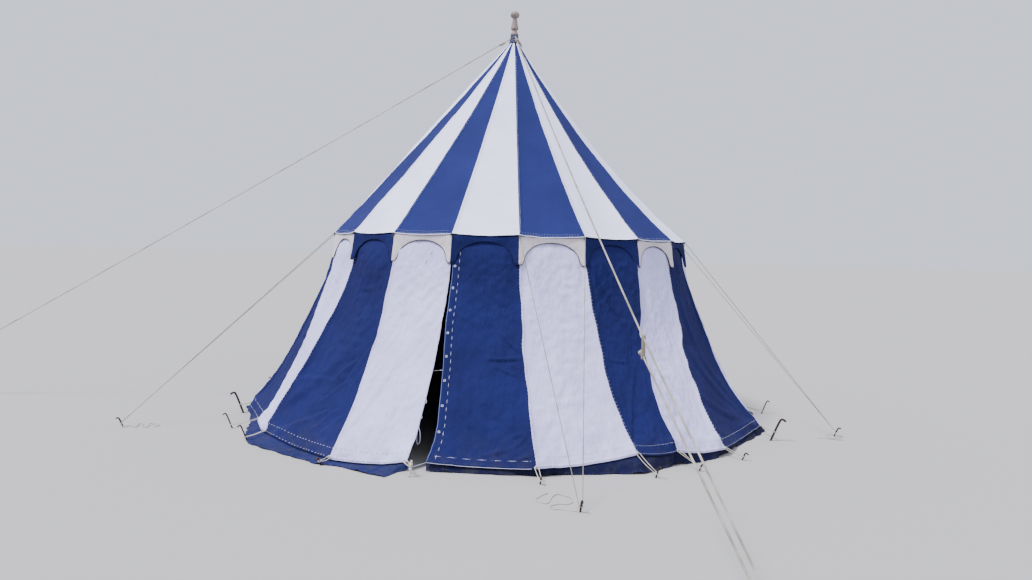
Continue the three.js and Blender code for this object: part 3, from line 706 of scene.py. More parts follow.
def drawnLine(cloth, index, route):
    # a curve over one bay of the cloth, given as (share across, height): the grid's points nearest to it,
    # smoothed with a bell over 31 of them
    dense = splinePath([(across, 0, height) for across, height in route], 0.004)
    first, perBay = index * cloth["perBay"], cloth["perBay"]
    columns = np.clip(first + np.round(dense[:, 0] * (perBay - 1)).astype(int), 0, cloth["points"].shape[1] - 1)
    heights = cloth["points"][:, first + perBay // 2, 2]
    rows = np.clip(np.searchsorted(heights, dense[:, 2]), 0, len(heights) - 1)
    padded = np.pad(cloth["points"][rows, columns], ((15, 15), (0, 0)), "edge")
    bell = np.hanning(31) / np.hanning(31).sum()
    points = np.stack([np.convolve(padded[:, i], bell, "valid") for i in range(3)], axis=1)
    return points, cloth["normals"][rows, columns]


def roofStitching():
    rows, perBay = [], roofCloth["perBay"]
    for bay in range(tent["bays"]):
        for share in (0.15, 0.85):
            rows += stitchRow(columnLine(roofCloth, bay * perBay, share), roof["rowPitch"], roof["stitch"],
                              start=2, stop=-6)
        for height in roof["bandRows"] if bay % 2 else ():
            line = rowLine(roofCloth, height, bay * perBay + 1, (bay + 1) * perBay - 1)
            rows += stitchRow(line, roof["rowPitch"], roof["bandStitch"])
    addStitching("roof_stitching", rows, "thread")


def eavePiping():
    tubes, perBay = [], roofCloth["perBay"]
    for bay in range(1, tent["bays"], 2):
        picked = np.arange(bay * perBay, (bay + 1) * perBay + 1) % roofCloth["points"].shape[1]
        edge = roofCloth["points"][0, picked] + roofCloth["normals"][0, picked] * 0.0005
        tubes.append(tubeArrays(edge - [0, 0, roof["piping"] * 0.8], roof["piping"], 8))
    declare(joinTubes("eave_piping", tubes, "thread"), "rope")


roofStitching()
eavePiping()


# valance: one ring of cloth with an arch cut in each bay and its edge bound
valance = {"columns": 40, "rows": 16, "depth": 0.245, "archDepth": 0.058, "flatness": 2.2, "flare": 0.13,
           "tab": 0.145, "gap": 0.009, "binding": 0.0034, "drawnIn": 0.018, "meanDepth": 0.110,
           "folds": [(0.0030, 0.35, 21), (0.0015, 0.12, 22)], "fineFolds": (0.0006, 0.05, 23),
           "rayHeight": 0.0110, "stitchPitch": 0.022, "stitch": (0.012, 0.0026)}


def valanceSheet():
    bays, columns, chord = tent["bays"], valance["columns"], tent["eaveChord"]
    place = np.arange(bays * columns) / columns
    bay = np.floor(place)
    across = place - bay
    side = np.abs(2 * across - 1)
    # the arch is a flattened half circle between two blunt tabs
    wide = np.clip(side / (1 - valance["tab"]), 0, 1)
    arch = (1 - wide ** valance["flatness"]) ** (1 / valance["flatness"])
    bottom = tent["eaveHeight"] - (valance["depth"] + (valance["archDepth"] - valance["depth"]) * arch)
    top = tent["eaveHeight"] - eaveDip(across, tent["eaveRadius"]) - valance["gap"]
    z = bottom + (top - bottom) * np.linspace(0, 1, valance["rows"])[:, None]
    drop = tent["eaveHeight"] - z
    flared = tent["eaveRadius"] + valance["flare"] * drop * (0.3 + 0.7 * side ** 2)
    left, right = polar(flared, bay * bayAngle, z), polar(flared, (bay + 1) * bayAngle, z)
    points = left + (right - left) * across[:, None]
    normals = gridNormals(points, wrap=True)
    free = np.clip(drop / 0.06, 0, 1)
    lift = free * layered(waves, points, *valance["folds"]) + layered(waves, points, valance["fineFolds"])
    # the cloth is drawn in between the corners, and folds run down from the corner knots
    lift -= valance["drawnIn"] * np.clip(drop / 0.10, 0, 1) * (1 - side ** 2.5) + 0.004 * (1 - free)
    for away, corner in ((across * chord, bay), (chord - across * chord, bay + 1)):
        lift += valance["rayHeight"] * rays(away, drop + 0.008, 0.15, 6, 2.9 * seamNumber(corner))
    points = points + normals * lift[..., None]
    rows, count = points.shape[:2]
    uv = np.stack([np.broadcast_to(place * chord, z.shape), z], axis=-1)
    piece = clothPiece("valance_canvas", np.concatenate([points, points[:, :1]], axis=1),
                       [finishes["wallBlue"], finishes["valanceWhite"]], np.tile(bay.astype(int) % 2, rows - 1),
                       np.concatenate([uv, uv[:, :1] + [bays * chord, 0]], axis=1))
    declare(piece, "cream_canvas", "valance")
    normals = gridNormals(points, wrap=True)
    edge = points[0] - normals[0] * clothThickness / 2
    picked = [np.arange(number * columns, (number + 1) * columns + 1) % count for number in range(bays)]
    # the cream bays' binding takes the dark tape: a painted shadow line under the arch
    for odd, colour, slot in ((0, "Blue", "blue_canvas"), (1, "White", "cream_canvas")):
        tubes = [tubeArrays(edge[places], valance["binding"], 8) for places in picked[odd::2]]
        declare(joinTubes(f"valance_binding_{colour.lower()}", tubes, f"binding{colour}"), slot)
    stitches = []
    for places in picked[1::2]:
        line = points[1, places[1:-1]], normals[1, places[1:-1]]
        stitches += stitchRow(line, valance["stitchPitch"], valance["stitch"])
    addStitching("valance_stitching", stitches, "dullThread")


eaveKnot = {"out": 0.004, "below": 0.006, "coilRadius": 0.0075, "turns": 2.5, "pitch": 0.0054, "cord": 0.0027,
            "endCord": 0.0018, "fall": 0.030, "uneven": 0.012}


def eaveKnots():
    # a cord tied at each eave corner, its short ends hanging
    tubes = []
    for seam in range(tent["bays"]):
        azimuth = seam * bayAngle
        out, side = outAndSide(azimuth)
        centre = polar(tent["eaveRadius"] + eaveKnot["out"], azimuth, tent["eaveHeight"] - eaveKnot["below"])
        turns = coil(centre, side, eaveKnot["coilRadius"], eaveKnot["turns"], eaveKnot["pitch"])
        tubes.append(tubeArrays(turns, eaveKnot["cord"], 7))
        for way in (-1, 1):
            fall = eaveKnot["fall"] + eaveKnot["uneven"] * math.sin(5.1 * seam + way)
            route = [centre] + [centre + side * way * aside + out * eaveKnot["out"] - [0, 0, down]
                                for aside, down in ((0.008, 0.012), (0.013, fall))]
            tubes.append(tubeArrays(splinePath(route, 0.003), eaveKnot["endCord"], 7))
    declare(joinTubes("eave_knots", tubes, "grimeAndShadeHemp"), "rope")


valanceSheet()
eaveKnots()
print("stage: valance hung")


# walls: sewn panels in four sheets of five bays; bay 0 is the door flap, free at its left edge
wall = {"rows": 176, "columns": 46, "hemBand": 0.068, "topGap": 0.018, "height": 1.76, "slant": 1.12,
        "flat": (0.815, 1.97), "meanWidth": 0.69, "uvWidth": 0.9, "boltRope": 0.005, "facing": 0.045,
        "calmTop": 1.86, "pushedOut": 0.014, "bearingLow": 1.25, "bearingTop": 1.79,
        # stitches: pitch, (length, width)
        "hemStitch": (0.044, (0.015, 0.0066)), "fineStitch": (0.024, (0.017, 0.0034)),
        "seamStitch": (0.030, (0.011, 0.0028)), "hemRows": (0.012, 0.078),
        # the mended tear: share across the panel and height
        "mend": [(0.72, 1.66), (0.64, 1.60), (0.60, 1.54), (0.60, 1.45), (0.58, 1.34), (0.575, 1.24), (0.60, 1.12)],
        # the last entry: the share of the mend's stitches, from its top, drawn dark as painted shade
        "mendStitch": (0.080, (0.055, 0.0050)), "mendShadedShare": 0.3}


def wallTop(bay, across):
    # just under the roof cloth
    left, right = (roofSeam(bay + side, tent["wallTopRadius"])[..., 2] for side in (0, 1))
    return left * (1 - across) + right * across - eaveDip(across, tent["wallTopRadius"]) - wall["topGap"]


def wallShape(bay, across, share):
    # flat panels between the seams; share is the way up from the hem
    isDoor = bay % tent["bays"] == 0
    low = hemHeight(bay + across) - np.where(isDoor, 0.002, 0.010) * np.sin(np.pi * across)
    z = low + (wallTop(bay, across) - low) * share
    start = np.where(isDoor, doorShare(z), 0)
    left, right = wallSeam(bay, z), wallSeam(bay + 1, z)
    return left + (right - left) * (start + (1 - start) * across)[..., None], z, z - low


# a cloth simulation of the whole wall on a coarse grid gives its large folds
drape = {"perBay": 14, "rows": 46, "frames": 26, "slack": 0.012, "limit": 0.035,
         "cloth": {"quality": 6, "mass": 0.012, "tension_stiffness": 40, "compression_stiffness": 40,
                   "shear_stiffness": 20, "bending_stiffness": 0.35, "air_damping": 2}}


def hangWall():
    # the wall held at the eave and at the pegs, under its own weight; returns how far each point moves
    bays, rows = tent["bays"], drape["rows"]
    columns = bays * drape["perBay"] + 1
    share, seam = np.meshgrid(np.linspace(0, 1, rows), np.linspace(0, bays, columns), indexing="ij")
    bay = np.minimum(np.floor(seam + 1e-9), bays - 1)
    start = wallShape(bay, seam - bay, share)[0]
    sheet = newPiece("coarse_wall", start.reshape(-1, 3), gridFaces(rows, columns), [])
    held = sheet.vertex_groups.new(name="held")
    number = np.arange(rows * columns).reshape(rows, columns)
    held.add(number[-1].tolist() + number[:2, ::drape["perBay"]].ravel().tolist(), 1.0, "REPLACE")
    hanging = sheet.modifiers.new("hanging", "CLOTH")
    for key, value in drape["cloth"].items():
        setattr(hanging.settings, key, value)
    hanging.settings.vertex_group_mass = "held"
    hanging.settings.shrink_min = -drape["slack"]
    hanging.point_cache.frame_start, hanging.point_cache.frame_end = 1, drape["frames"]
    scene = bpy.context.scene
    for number in range(1, drape["frames"] + 1):
        scene.frame_set(number)
    hung = sheet.evaluated_get(bpy.context.evaluated_depsgraph_get())
    places = np.zeros(rows * columns * 3, np.float32)
    hung.data.vertices.foreach_get("co", places)
    scene.frame_set(1)
    bpy.data.objects.remove(sheet)
    moved = places.reshape(start.shape) - start
    size = np.linalg.norm(moved, axis=-1, keepdims=True)
    print("stage: wall draped, moved", round(float(size.mean()), 4), "mean", round(float(size.max()), 4), "most")
    return moved / np.sqrt(1 + (size / drape["limit"]) ** 2)


wallMoves = hangWall()


def cubic(place, count):
    # the four neighbours of each place on a line of points and their Catmull-Rom weights
    first = np.clip(np.floor(place).astype(int), 0, count - 2)
    t = place - first
    weights = np.stack([-t + 2 * t ** 2 - t ** 3, 2 - 5 * t ** 2 + 3 * t ** 3,
                        t + 4 * t ** 2 - 3 * t ** 3, -t ** 2 + t ** 3], axis=-1) / 2
    return np.clip(first[..., None] + np.arange(-1, 3), 0, count - 1), weights


def wallMove(seam, share):
    # the coarse wall's movement, smoothly in between: seam from 0 to 20, share of the way up
    rowAt, rowWeight = cubic(share * (drape["rows"] - 1), drape["rows"])
    columnAt, columnWeight = cubic(seam * drape["perBay"], wallMoves.shape[1])
    total = 0
    for i in range(4):
        for j in range(4):
            weight = rowWeight[..., i] * columnWeight[..., j]
            total = total + weight[..., None] * wallMoves[rowAt[..., i], columnAt[..., j]]
    return total


# sharp creases: from seam number and height, to seam number and height, then width and depth
creases = [
    (-1.97, 0.20, -1.02, 1.10, 0.045, 0.009), (-1.02, 0.90, -1.28, 0.54, 0.021, 0.014),
    (-1.25, 0.58, -1.55, 0.34, 0.018, 0.012), (-1.04, 0.70, -1.22, 0.36, 0.017, 0.011),
    (-1.18, 0.38, -1.48, 0.14, 0.017, 0.010), (-1.05, 0.36, -1.36, 0.11, 0.015, 0.008),
    (-1.30, 0.35, -1.84, 0.11, 0.019, 0.011), (-1.20, 0.76, -1.48, 0.57, 0.022, 0.010),
    (-1.44, 0.58, -1.97, 0.53, 0.024, 0.007), (-1.15, 1.45, -1.50, 0.90, 0.026, 0.007),
    (-1.60, 1.50, -1.72, 0.80, 0.020, 0.006), (-0.26, 0.50, -0.50, 0.08, 0.016, 0.007),
    (-0.76, 0.78, -0.94, 0.54, 0.020, 0.007), (-0.55, 1.30, -0.62, 0.62, 0.016, 0.006),
    (-2.42, 1.62, -2.36, 0.22, 0.020, 0.011),
    (-2.95, 0.20, -2.10, 0.90, 0.030, 0.007), (-3.1, 0.9, -3.9, 0.2, 0.04, 0.008),
    (0.56, 0.80, 1.00, 0.82, 0.013, 0.0130), (0.62, 0.75, 0.94, 0.68, 0.013, 0.0080),
    (0.70, 1.00, 0.99, 0.85, 0.014, 0.0090), (0.20, 0.42, 0.55, 0.20, 0.020, 0.0040),
    (0.50, 0.13, 0.84, 0.19, 0.014, 0.0070), (0.82, 0.18, 1.01, 0.31, 0.014, 0.0080),
    (0.78, 0.25, 0.99, 0.30, 0.013, 0.0070), (0.84, 0.11, 0.99, 0.14, 0.012, 0.0070),
    (0.98, 0.12, 0.45, 0.42, 0.022, 0.0045), (0.10, 1.40, 0.35, 1.05, 0.018, 0.0030),
    (2.03, 1.62, 2.66, 1.02, 0.014, 0.012), (2.10, 1.50, 2.22, 1.00, 0.014, 0.006),
    (2.72, 1.00, 2.60, 0.55, 0.012, 0.008), (2.20, 0.80, 2.60, 0.78, 0.012, 0.006),
    (2.05, 0.20, 2.80, 0.75, 0.035, 0.009), (2.95, 0.15, 2.30, 0.80, 0.030, 0.008),
    (1.05, 0.15, 1.55, 0.75, 0.030, 0.0050), (1.95, 0.15, 1.50, 0.60, 0.028, 0.0050),
    (-0.95, 0.18, -0.45, 0.85, 0.030, 0.0060), (-0.30, 0.20, -0.62, 0.95, 0.026, 0.0050),
    (3.90, 0.15, 3.15, 0.90, 0.030, 0.0060), (4.20, 1.25, 4.95, 0.22, 0.040, 0.012),
    (4.10, 0.85, 4.90, 0.18, 0.035, 0.010), (4.05, 0.45, 4.70, 0.15, 0.030, 0.008),
    (5.90, 0.2, 5.15, 0.95, 0.04, 0.009), (6.90, 0.2, 6.10, 0.95, 0.05, 0.011),
    (8.10, 0.25, 8.90, 0.9, 0.05, 0.010), (-8.1, 0.2, -8.8, 0.85, 0.05, 0.011),
    (-6.9, 0.2, -6.2, 0.8, 0.05, 0.010), (-5.1, 0.2, -5.8, 0.9, 0.04, 0.009),
    (9.2, 0.2, 9.8, 0.9, 0.04, 0.009), (7.3, 1.3, 7.8, 0.5, 0.04, 0.009),
]
creaseBayWidth = 0.75


def creaseDepth(seam, z, crease):
    # a sharp valley beside a round ridge: exp(-(x - 1.3) squared) - exp(-|x|), fading at both ends
    fromSeam, fromZ, toSeam, toZ, width, depth = crease
    start, end = np.array([fromSeam * creaseBayWidth, fromZ]), np.array([toSeam * creaseBayWidth, toZ])
    length = np.linalg.norm(end - start)
    direction = (end - start) / length
    x, y = seam * creaseBayWidth - start[0], z - start[1]
    along = (x * direction[0] + y * direction[1]) / length
    bow = 0.10 * length * np.clip(along, 0, 1) * (1 - np.clip(along, 0, 1))
    off = (-x * direction[1] + y * direction[0] + bow) / width
    ends = np.clip(along * 5 + 0.5, 0, 1) * np.clip((1 - along) * 2.5 + 0.3, 0, 1)
    return depth * (np.exp(-(off - 1.3) ** 2) - 0.9 * np.exp(-np.abs(off))) * ends ** 2


# everything in a panel that is smaller than a fold of the simulation
panel = {"tilt": 0.35, "squeeze": 0.28, "seamCalm": 0.045, "blueShare": 1.2, "whiteShare": 1.3,
         # layers: height, size, seed
         "crumples": [(0.0030, 0.16, 31), (0.0026, 0.075, 32), (0.0010, 0.035, 33)],
         "fine": [(waves, 0.0030, 0.42, 34), (creased, 0.0018, 0.11, 36), (creased, 0.0010, 0.05, 37)],
         # fans of folds from the hem's and the eave's corners: height; reach and count
         "hemFan": (0.0075, (0.45, 7)), "eaveFan": (0.0040, (0.30, 6)), "eaveFanHeight": 1.84,
         # puckers: height, reach, size, seed
         "seamPucker": (0.0016, 0.025, 0.07, 38), "hemPucker": (0.0024, 0.05, 0.05, 39), "hemPuckerHeight": 0.09,
         "stiffHem": 0.07}


def panelLift(bay, across, width, height, z):
    # how far the cloth stands outwards, in metres
    number = float(seamNumber(bay))
    x = across * width
    side = np.minimum(across, 1 - across) * width
    tilt, squeeze = panel["tilt"] * math.sin(2.3 * number + 0.7), panel["squeeze"]
    own = np.full_like(x, 3.7 * number)
    flat = np.stack([x + tilt * height, height * squeeze - tilt * squeeze * x, own], axis=-1)
    free = np.stack([x, height, own], axis=-1)
    folds = layered(creased, flat, *panel["crumples"])
    folds += sum(layered(shape, free, layer) for shape, *layer in panel["fine"])
    # it fades out at the seams; white cloth shows less of it, so it is creased more
    share = panel["whiteShare" if bay % 2 else "blueShare"]
    lift = folds * (1 - np.exp(-(side / panel["seamCalm"]) ** 2)) * share
    (hemHigh, hemFan), (eaveHigh, eaveFan) = panel["hemFan"], panel["eaveFan"]
    below = np.clip(panel["eaveFanHeight"] - z, 0, 2)
    for away, phase in ((x, 1.7 * number), (width - x, 1.7 * float(seamNumber(bay + 1)))):
        lift += hemHigh * rays(away, height + 0.01, *hemFan, phase)
        lift += eaveHigh * rays(away, below, *eaveFan, phase + 1)
    # the seams pucker, and so does the cloth above the hem
    high, reach, *how = panel["seamPucker"]
    lift += high * np.exp(-side / reach) * waves(free, *how)
    high, reach, *how = panel["hemPucker"]
    lift += high * np.exp(-((height - panel["hemPuckerHeight"]) / reach) ** 2) * creased(free * [0.5, 1, 1], *how)
    # the rope in the hem keeps it straight
    return lift * (0.3 + 0.7 * np.clip(height / panel["stiffHem"], 0, 1))


def wallSheet(name, firstBay):
    bands = [0.004, 0.009, 0.019, 0.024, wall["hemBand"], wall["hemBand"] + 0.002]
    shares = rowShares(wall["height"], bands, wall["rows"])
    grids, uvs, materialAt = [], [], []
    for bay in range(firstBay, firstBay + 5):
        low, high = hemHeight(bay), tent["eaveHeight"]
        probe = low + (high - low) * shares
        widths = np.linalg.norm(wallSeam(bay + 1, probe) - wallSeam(bay, probe), axis=-1)
        across, proud = bayStations(widths, wall["columns"])
        shareAt = np.broadcast_to(shares[:, None], across.shape)
        points, z, height = wallShape(np.full(across.shape, float(bay)), across, shareAt)
        height, width = height * wall["slant"], widths[:, None]
        outward = unit(np.cross(wallSeam(bay + 1, z) - wallSeam(bay, z), np.gradient(points, axis=0)))
        if bay == 0:
            # the door flap has a doubled facing instead of a seam
            proud = clothThickness * (across * width < wall["facing"])
        lift = proud + 0.0012 * (height < wall["hemBand"])
        lift = lift + wall["boltRope"] * np.exp(-((height - 0.014) / 0.006) ** 2)
        lift += panelLift(bay, across, width, height, z)
        for crease in creases:
            lift += creaseDepth(bay + across, z, crease)
        # little moves near the eave, and the wall bears against the valance there
        calm = np.clip((wall["calmTop"] - z) / 0.30, 0, 1)
        bearing = wall["pushedOut"] * np.clip((z - wall["bearingLow"]) / 0.4, 0, 1) ** 2
        lift = lift * calm + bearing * np.clip((wall["bearingTop"] - z) / 0.06, 0, 1)
        moved = wallMove(bay % tent["bays"] + across, shareAt) * (calm ** 1.5)[..., None]
        grids.append(points + moved + outward * lift[..., None])
        uvs.append(np.stack([bay * wall["uvWidth"] + across * width, height], axis=-1))
        materialAt += [bay % 2] * across.shape[1]
    points = np.concatenate(grids, axis=1)
    piece = clothPiece(name, points, [finishes["wallBlue"], finishes["wallWhite"]],
                       np.tile(materialAt[:-1], len(points) - 1), np.concatenate(uvs, axis=1))
    declare(piece, "blue_canvas", *(nodeOfBay(firstBay + i) for i in range(5)))
    width, height = wall["flat"]
    return {"points": points, "normals": gridNormals(points), "perBay": grids[0].shape[1],
            "along": shares * wall["height"] * wall["slant"], "firstBay": firstBay}


def nodeOfBay(bay):
    number = bay % tent["bays"]
    return "door_flap" if number == 0 else f"wall_{number:02d}_{'white' if number % 2 else 'blue'}"


wallCloths = [wallSheet(*sheet) for sheet in (("wall_front_right", 0), ("wall_back_right", 5),
                                              ("wall_back_left", -10), ("wall_front_left", -5))]
flapCloth, leftCloth = wallCloths[0], wallCloths[3]
print("stage: walls hung")


# the door flap's edge: a row of long hand stitches and loops of cord for the lacing
door = {"rowPitch": 0.066, "stitch": (0.042, 0.0040), "rowInset": 0.056, "hemRow": 0.056, "hemPitch": 0.115,
        "hemStitch": (0.085, 0.0036), "knots": (0.27, 0.18, 8), "knotInset": 0.021, "knotRadius": 0.0095,
        "holeRadius": 0.0026, "loopHeights": (0.37, 0.49), "bightHeight": 0.30, "loopRadius": 0.008,
        "cordRadius": 0.0024, "edgeRadius": 0.0022,
        # a long bight of the lacing cord below the loops
        "bight": [(0, -0.01, 0.01), (0.016, -0.012, -0.05), (0.012, -0.012, -0.12), (-0.004, -0.012, -0.135),
                  (-0.010, -0.012, -0.06), (0.002, -0.01, 0.0)]}


def wallStitching():
    light, dull = [], []
    for cloth in wallCloths:
        perBay = cloth["perBay"]
        for index in range(5):
            first, bay = index * perBay, cloth["firstBay"] + index
            if bay == 0:
                light += stitchRow(columnLine(cloth, first + perBay - 1, 0.3), *wall["seamStitch"], start=5, stop=-2)
                line = rowLine(cloth, door["hemRow"], first, first + perBay)
                light += stitchRow(line, door["hemPitch"], door["hemStitch"], 0.0014)
                line = insetLine(cloth, door["rowInset"])
                light += stitchRow(line, door["rowPitch"], door["stitch"], 0.0014, 4, -8)
                continue
            for share in (0.15, 0.85):
                light += stitchRow(columnLine(cloth, first, share), *wall["seamStitch"], start=5, stop=-2)
            for height in wall["hemRows"]:
                kind = wall["fineStitch" if 0 < bay < 5 else "hemStitch"]
                row = stitchRow(rowLine(cloth, height, first, first + perBay), *kind, 0.0012)
                (dull if bay % 2 else light).extend(row)
    # a mended tear in the white panel left of the door; its upper stitches are dark hemp as painted shade, the rest
    # pure white as painted light
    line = drawnLine(leftCloth, 4, wall["mend"])
    upper = int(len(line[0]) * wall["mendShadedShare"])
    for name, thread, ends in (("mend_painted_shade", "grimeAndShadeHemp", (0, upper)), ("mend_painted_lit", "whiteThread", (upper, None))):
        addStitching(name, stitchRow(line, *wall["mendStitch"], 0.0022, *ends), thread)
    addStitching("wall_stitching_light", light, "thread")
    addStitching("wall_stitching_dull", dull, "dullThread")


def doorLoops():
    tubes, holes = [], []
    turn, radius = circle(24)[:, None], door["cordRadius"]
    shutEdge = leftCloth["points"][:, -1]
    # knotted eyelets down the flap's facing
    line, normals = insetLine(flapCloth, door["knotInset"])
    lowest, pitch, count = door["knots"]
    spiral = 0.7 + 0.3 * turn / (2 * np.pi)
    for number in range(count):
        centre, normal = (valuesAt(lowest + pitch * number, line[:, 2], values) for values in (line, normals))
        side = unit(np.cross([0, 0, 1], normal))
        up = np.cross(normal, side)
        knot = ringPoints(centre + normal * 0.003, door["knotRadius"] * spiral, turn + number, side, up)
        tubes.append(tubeArrays(knot, radius, 7))
        # each eyelet's hole: a dark ring of cord, painted shade
        hole = ringPoints(centre + normal * 0.002, door["holeRadius"], turn, side, up)
        holes.append(tubeArrays(hole, door["holeRadius"], 6, closed=True))
    # loops of the lacing cord on the shut side
    across, down = np.array([1, -0.25, 0]), np.array([0.2, -0.2, -1])
    for number, z in enumerate(door["loopHeights"]):
        droop = 1.0 + 0.9 * number
        middle = valuesAt(z, shutEdge[:, 2], shutEdge) + down * door["loopRadius"] * 0.8 * droop
        loop = ringPoints(middle, door["loopRadius"], turn, across * 0.8, down * droop)
        tubes.append(tubeArrays(loop, radius, 7, closed=True))
    bight = valuesAt(door["bightHeight"], shutEdge[:, 2], shutEdge) + np.array(door["bight"])
    tubes.append(tubeArrays(splinePath(bight, 0.005), radius, 7))
    declare(joinTubes("door_loops", tubes, "thread"), "rope")
    declare(joinTubes("door_eyelet_holes_painted_shade", holes, "grimeAndShadeHemp"), "rope")
    # the flap's folded edge catches the light: a pale tube painted as its highlight
    edge = tubeArrays(flapCloth["points"][3:-10, 0], door["edgeRadius"], 6)
    declare(joinTubes("door_edge", [edge], "bindingSunny"), "blue_canvas")


wallStitching()
doorLoops()
print("stage: door laced")


# mud flap: a strip of cloth sewn under the hem that bends out over the ground
flap = {"rows": 18, "perBay": 64, "width": 0.22, "uvWidth": 0.8, "tucked": 0.034, "bend": 1.2, "lowest": 0.004,
        # height, size and seed of the uneven edge, of the ripples and of the crumples
        "edge": [(0.010, 0.5, 41), (0.006, 0.17, 42)], "ripples": [(creased, 0.014, 0.22, 43), (waves, 0.003, 0.08, 44)],
        "crumples": [(0.008, 0.09, 45), (0.003, 0.04, 46)],
        # how far out its edge lies at each seam, and halfway between, in metres
        "reach": {-4: 0.03, -3.5: 0.06, -3: 0.10, -2.6: 0.12, -2: 0.165, -1.7: 0.175, -1.36: 0.16, -1: 0.112,
                  -0.82: 0.107, -0.4: 0.18, -0.2: 0.21, -0.12: 0.22, -0.08: 0.06, 0: 0.0, 0.16: 0.01, 0.5: 0.01,
                  0.8: 0.012, 1: -0.005, 1.15: -0.015, 1.5: 0.05, 2: 0.105,
                  2.5: 0.05, 3: 0.0, 3.5: 0.03, 4: -0.02, 4.5: 0.03, 5: 0.04},
        "elsewhere": 0.055}


def flapReach(seam):
    number = seamNumber(seam)
    inside = np.interp(number, *zip(*sorted(flap["reach"].items())))
    return np.where((number < -4) | (number > 5), flap["elsewhere"], inside)


def flapSheet(name, fromSeam, toSeam, node, finish):
    count = int((toSeam - fromSeam) * flap["perBay"]) + 1
    seam = np.linspace(fromSeam, toSeam, count)
    bay = np.minimum(np.floor(seam + 1e-9), np.ceil(toSeam - 1e-9) - 1)
    across = seam - bay
    low = hemHeight(seam) - 0.010 * np.sin(np.pi * across)
    left, right = wallSeam(bay, low), wallSeam(bay + 1, low)
    hem = left + (right - left) * across[:, None]
    hem = hem + wallMove((seam + tent["bays"]) % tent["bays"], np.zeros(count))
    low = hem[:, 2]
    outward = unit(hem * [1, 1, 0])
    reach = flapReach(seam)
    for layer in flap["edge"]:
        reach = reach + layered(waves, hem, layer)
    t = np.linspace(0, 1, flap["rows"])[:, None]  # 0 at the free edge, 1 under the hem
    # the strip falls from the hem and lies on the ground, in crumpled folds
    s = 1 - t
    out = -flap["tucked"] + (reach[None, :] + 0.022) * s ** flap["bend"]
    # it comes out from under the hem at the share called under
    under = np.clip(0.030 / np.maximum(reach[None, :] + 0.022, 0.035), 0, 0.8) ** (1 / flap["bend"])
    beyond = np.clip((s - under) / (1 - under), 0, 1)
    hanging = low + 0.020 - 0.034 * s / under
    fallen = (low - 0.014) * (1 - np.clip(beyond / 0.7, 0, 1) ** 1.3)
    z = np.maximum(np.where(s < under, hanging, fallen), flap["lowest"])
    ripple = sum(layered(shape, hem, layer) for shape, *layer in flap["ripples"])[None, :] * np.clip(beyond * 4, 0, 1)
    flat = np.stack([np.broadcast_to(seam * 0.45, z.shape), 0 * z, s * flap["width"] * 1.3 + 0 * z], axis=-1)
    crumpled = layered(creased, flat, *flap["crumples"])
    z = z + np.clip(beyond * 2.5, 0, 1) * np.abs(ripple + crumpled)
    out = out + beyond * np.sin(np.pi * s) * (0.8 * ripple + crumpled) + beyond * 0.5 * ripple
    points = hem[None] * [1, 1, 0] + outward[None] * out[..., None]
    points[..., 2] = z
    uv = np.stack([np.broadcast_to(seam * flap["uvWidth"], z.shape), t * flap["width"] + 0 * z], axis=-1)
    piece = declare(clothPiece(name, points, [finishes[finish]], None, uv), "blue_canvas", node)


doorSeam = float(doorShare(np.array(tent["hemHeight"])))
# the right strip takes the darker copy of the cloth, painted shade; the left strip the lighter copy, painted sunlight
flapSheet("mud_flap_canvas_right", doorSeam, 10, "mud_flap_right", "flapPaintedShade")
flapSheet("mud_flap_canvas_left", -10, 0, "mud_flap_left", "flapPaintedSunlit")
print("stage: mud flap laid")


# pole and finial
pole = {"radius": 0.03, "collarHeight": 0.05, "ropeBand": 0.045}
seatGap = 0.0004
finialProfile = [(0.039, 0), (0.038, 0.008), (0.031, 0.026), (0.025, 0.042), (0.025, 0.050), (0.036, 0.055),
                 (0.039, 0.060), (0.0385, 0.068), (0.031, 0.108), (0.0245, 0.152), (0.0215, 0.166), (0.024, 0.172),
                 (0.038, 0.180), (0.045, 0.192), (0.0465, 0.204), (0.042, 0.220), (0.030, 0.232), (0.014, 0.2385)]
collarProfile = [(0.044, 0), (0.051, 0.009), (0.0525, 0.020), (0.049, 0.033), (0.038, 0.047), (0.036, 0.050)]
# the draw cord that gathers the canvas round the pole: height, radius, turns
lashing = [(0.036, 0.047, 3.0), (0.012, 0.0525, 1.0)]


def turned(name, profile, sides, finish, bottom, folds=0.0):
    # a profile turned round the pole: (r cos a, r sin a, z), rounded with a spline; folds gather it
    smooth = splinePath([(radius, 0, z) for radius, z in profile], 0.003)
    radius = np.concatenate([[0.0004], np.maximum(smooth[:, 0], 0), [0.0004]])[:, None]
    z = smooth[:, 2] + bottom
    z = np.concatenate([[z[0]], z, [z[-1] + 0.001]])[:, None]
    angle = circle(sides)
    gathers = 1 - folds * np.abs(np.sin(7 * angle + 0.8 * np.sin(3 * angle) + 12 * z))
    points = np.stack([radius * gathers * np.cos(angle), radius * gathers * np.sin(angle),
                       np.broadcast_to(z, (len(z), sides))], axis=-1)
    return newPiece(name, points.reshape(-1, 3), gridFaces(len(z), sides, wrap=True), [finishes[finish]])


poleTop = tent["roofTopHeight"] + seatGap + pole["collarHeight"] + pole["ropeBand"]
declare(turned("finial_turned", finialProfile, 64, "oiledWood", poleTop + seatGap), "turned_wood", "pole_finial")
declare(turned("collar_gathered", collarProfile, 84, "crownCanvas", tent["roofTopHeight"] + seatGap, 0.10),
        "blue_canvas", "crown_collar")
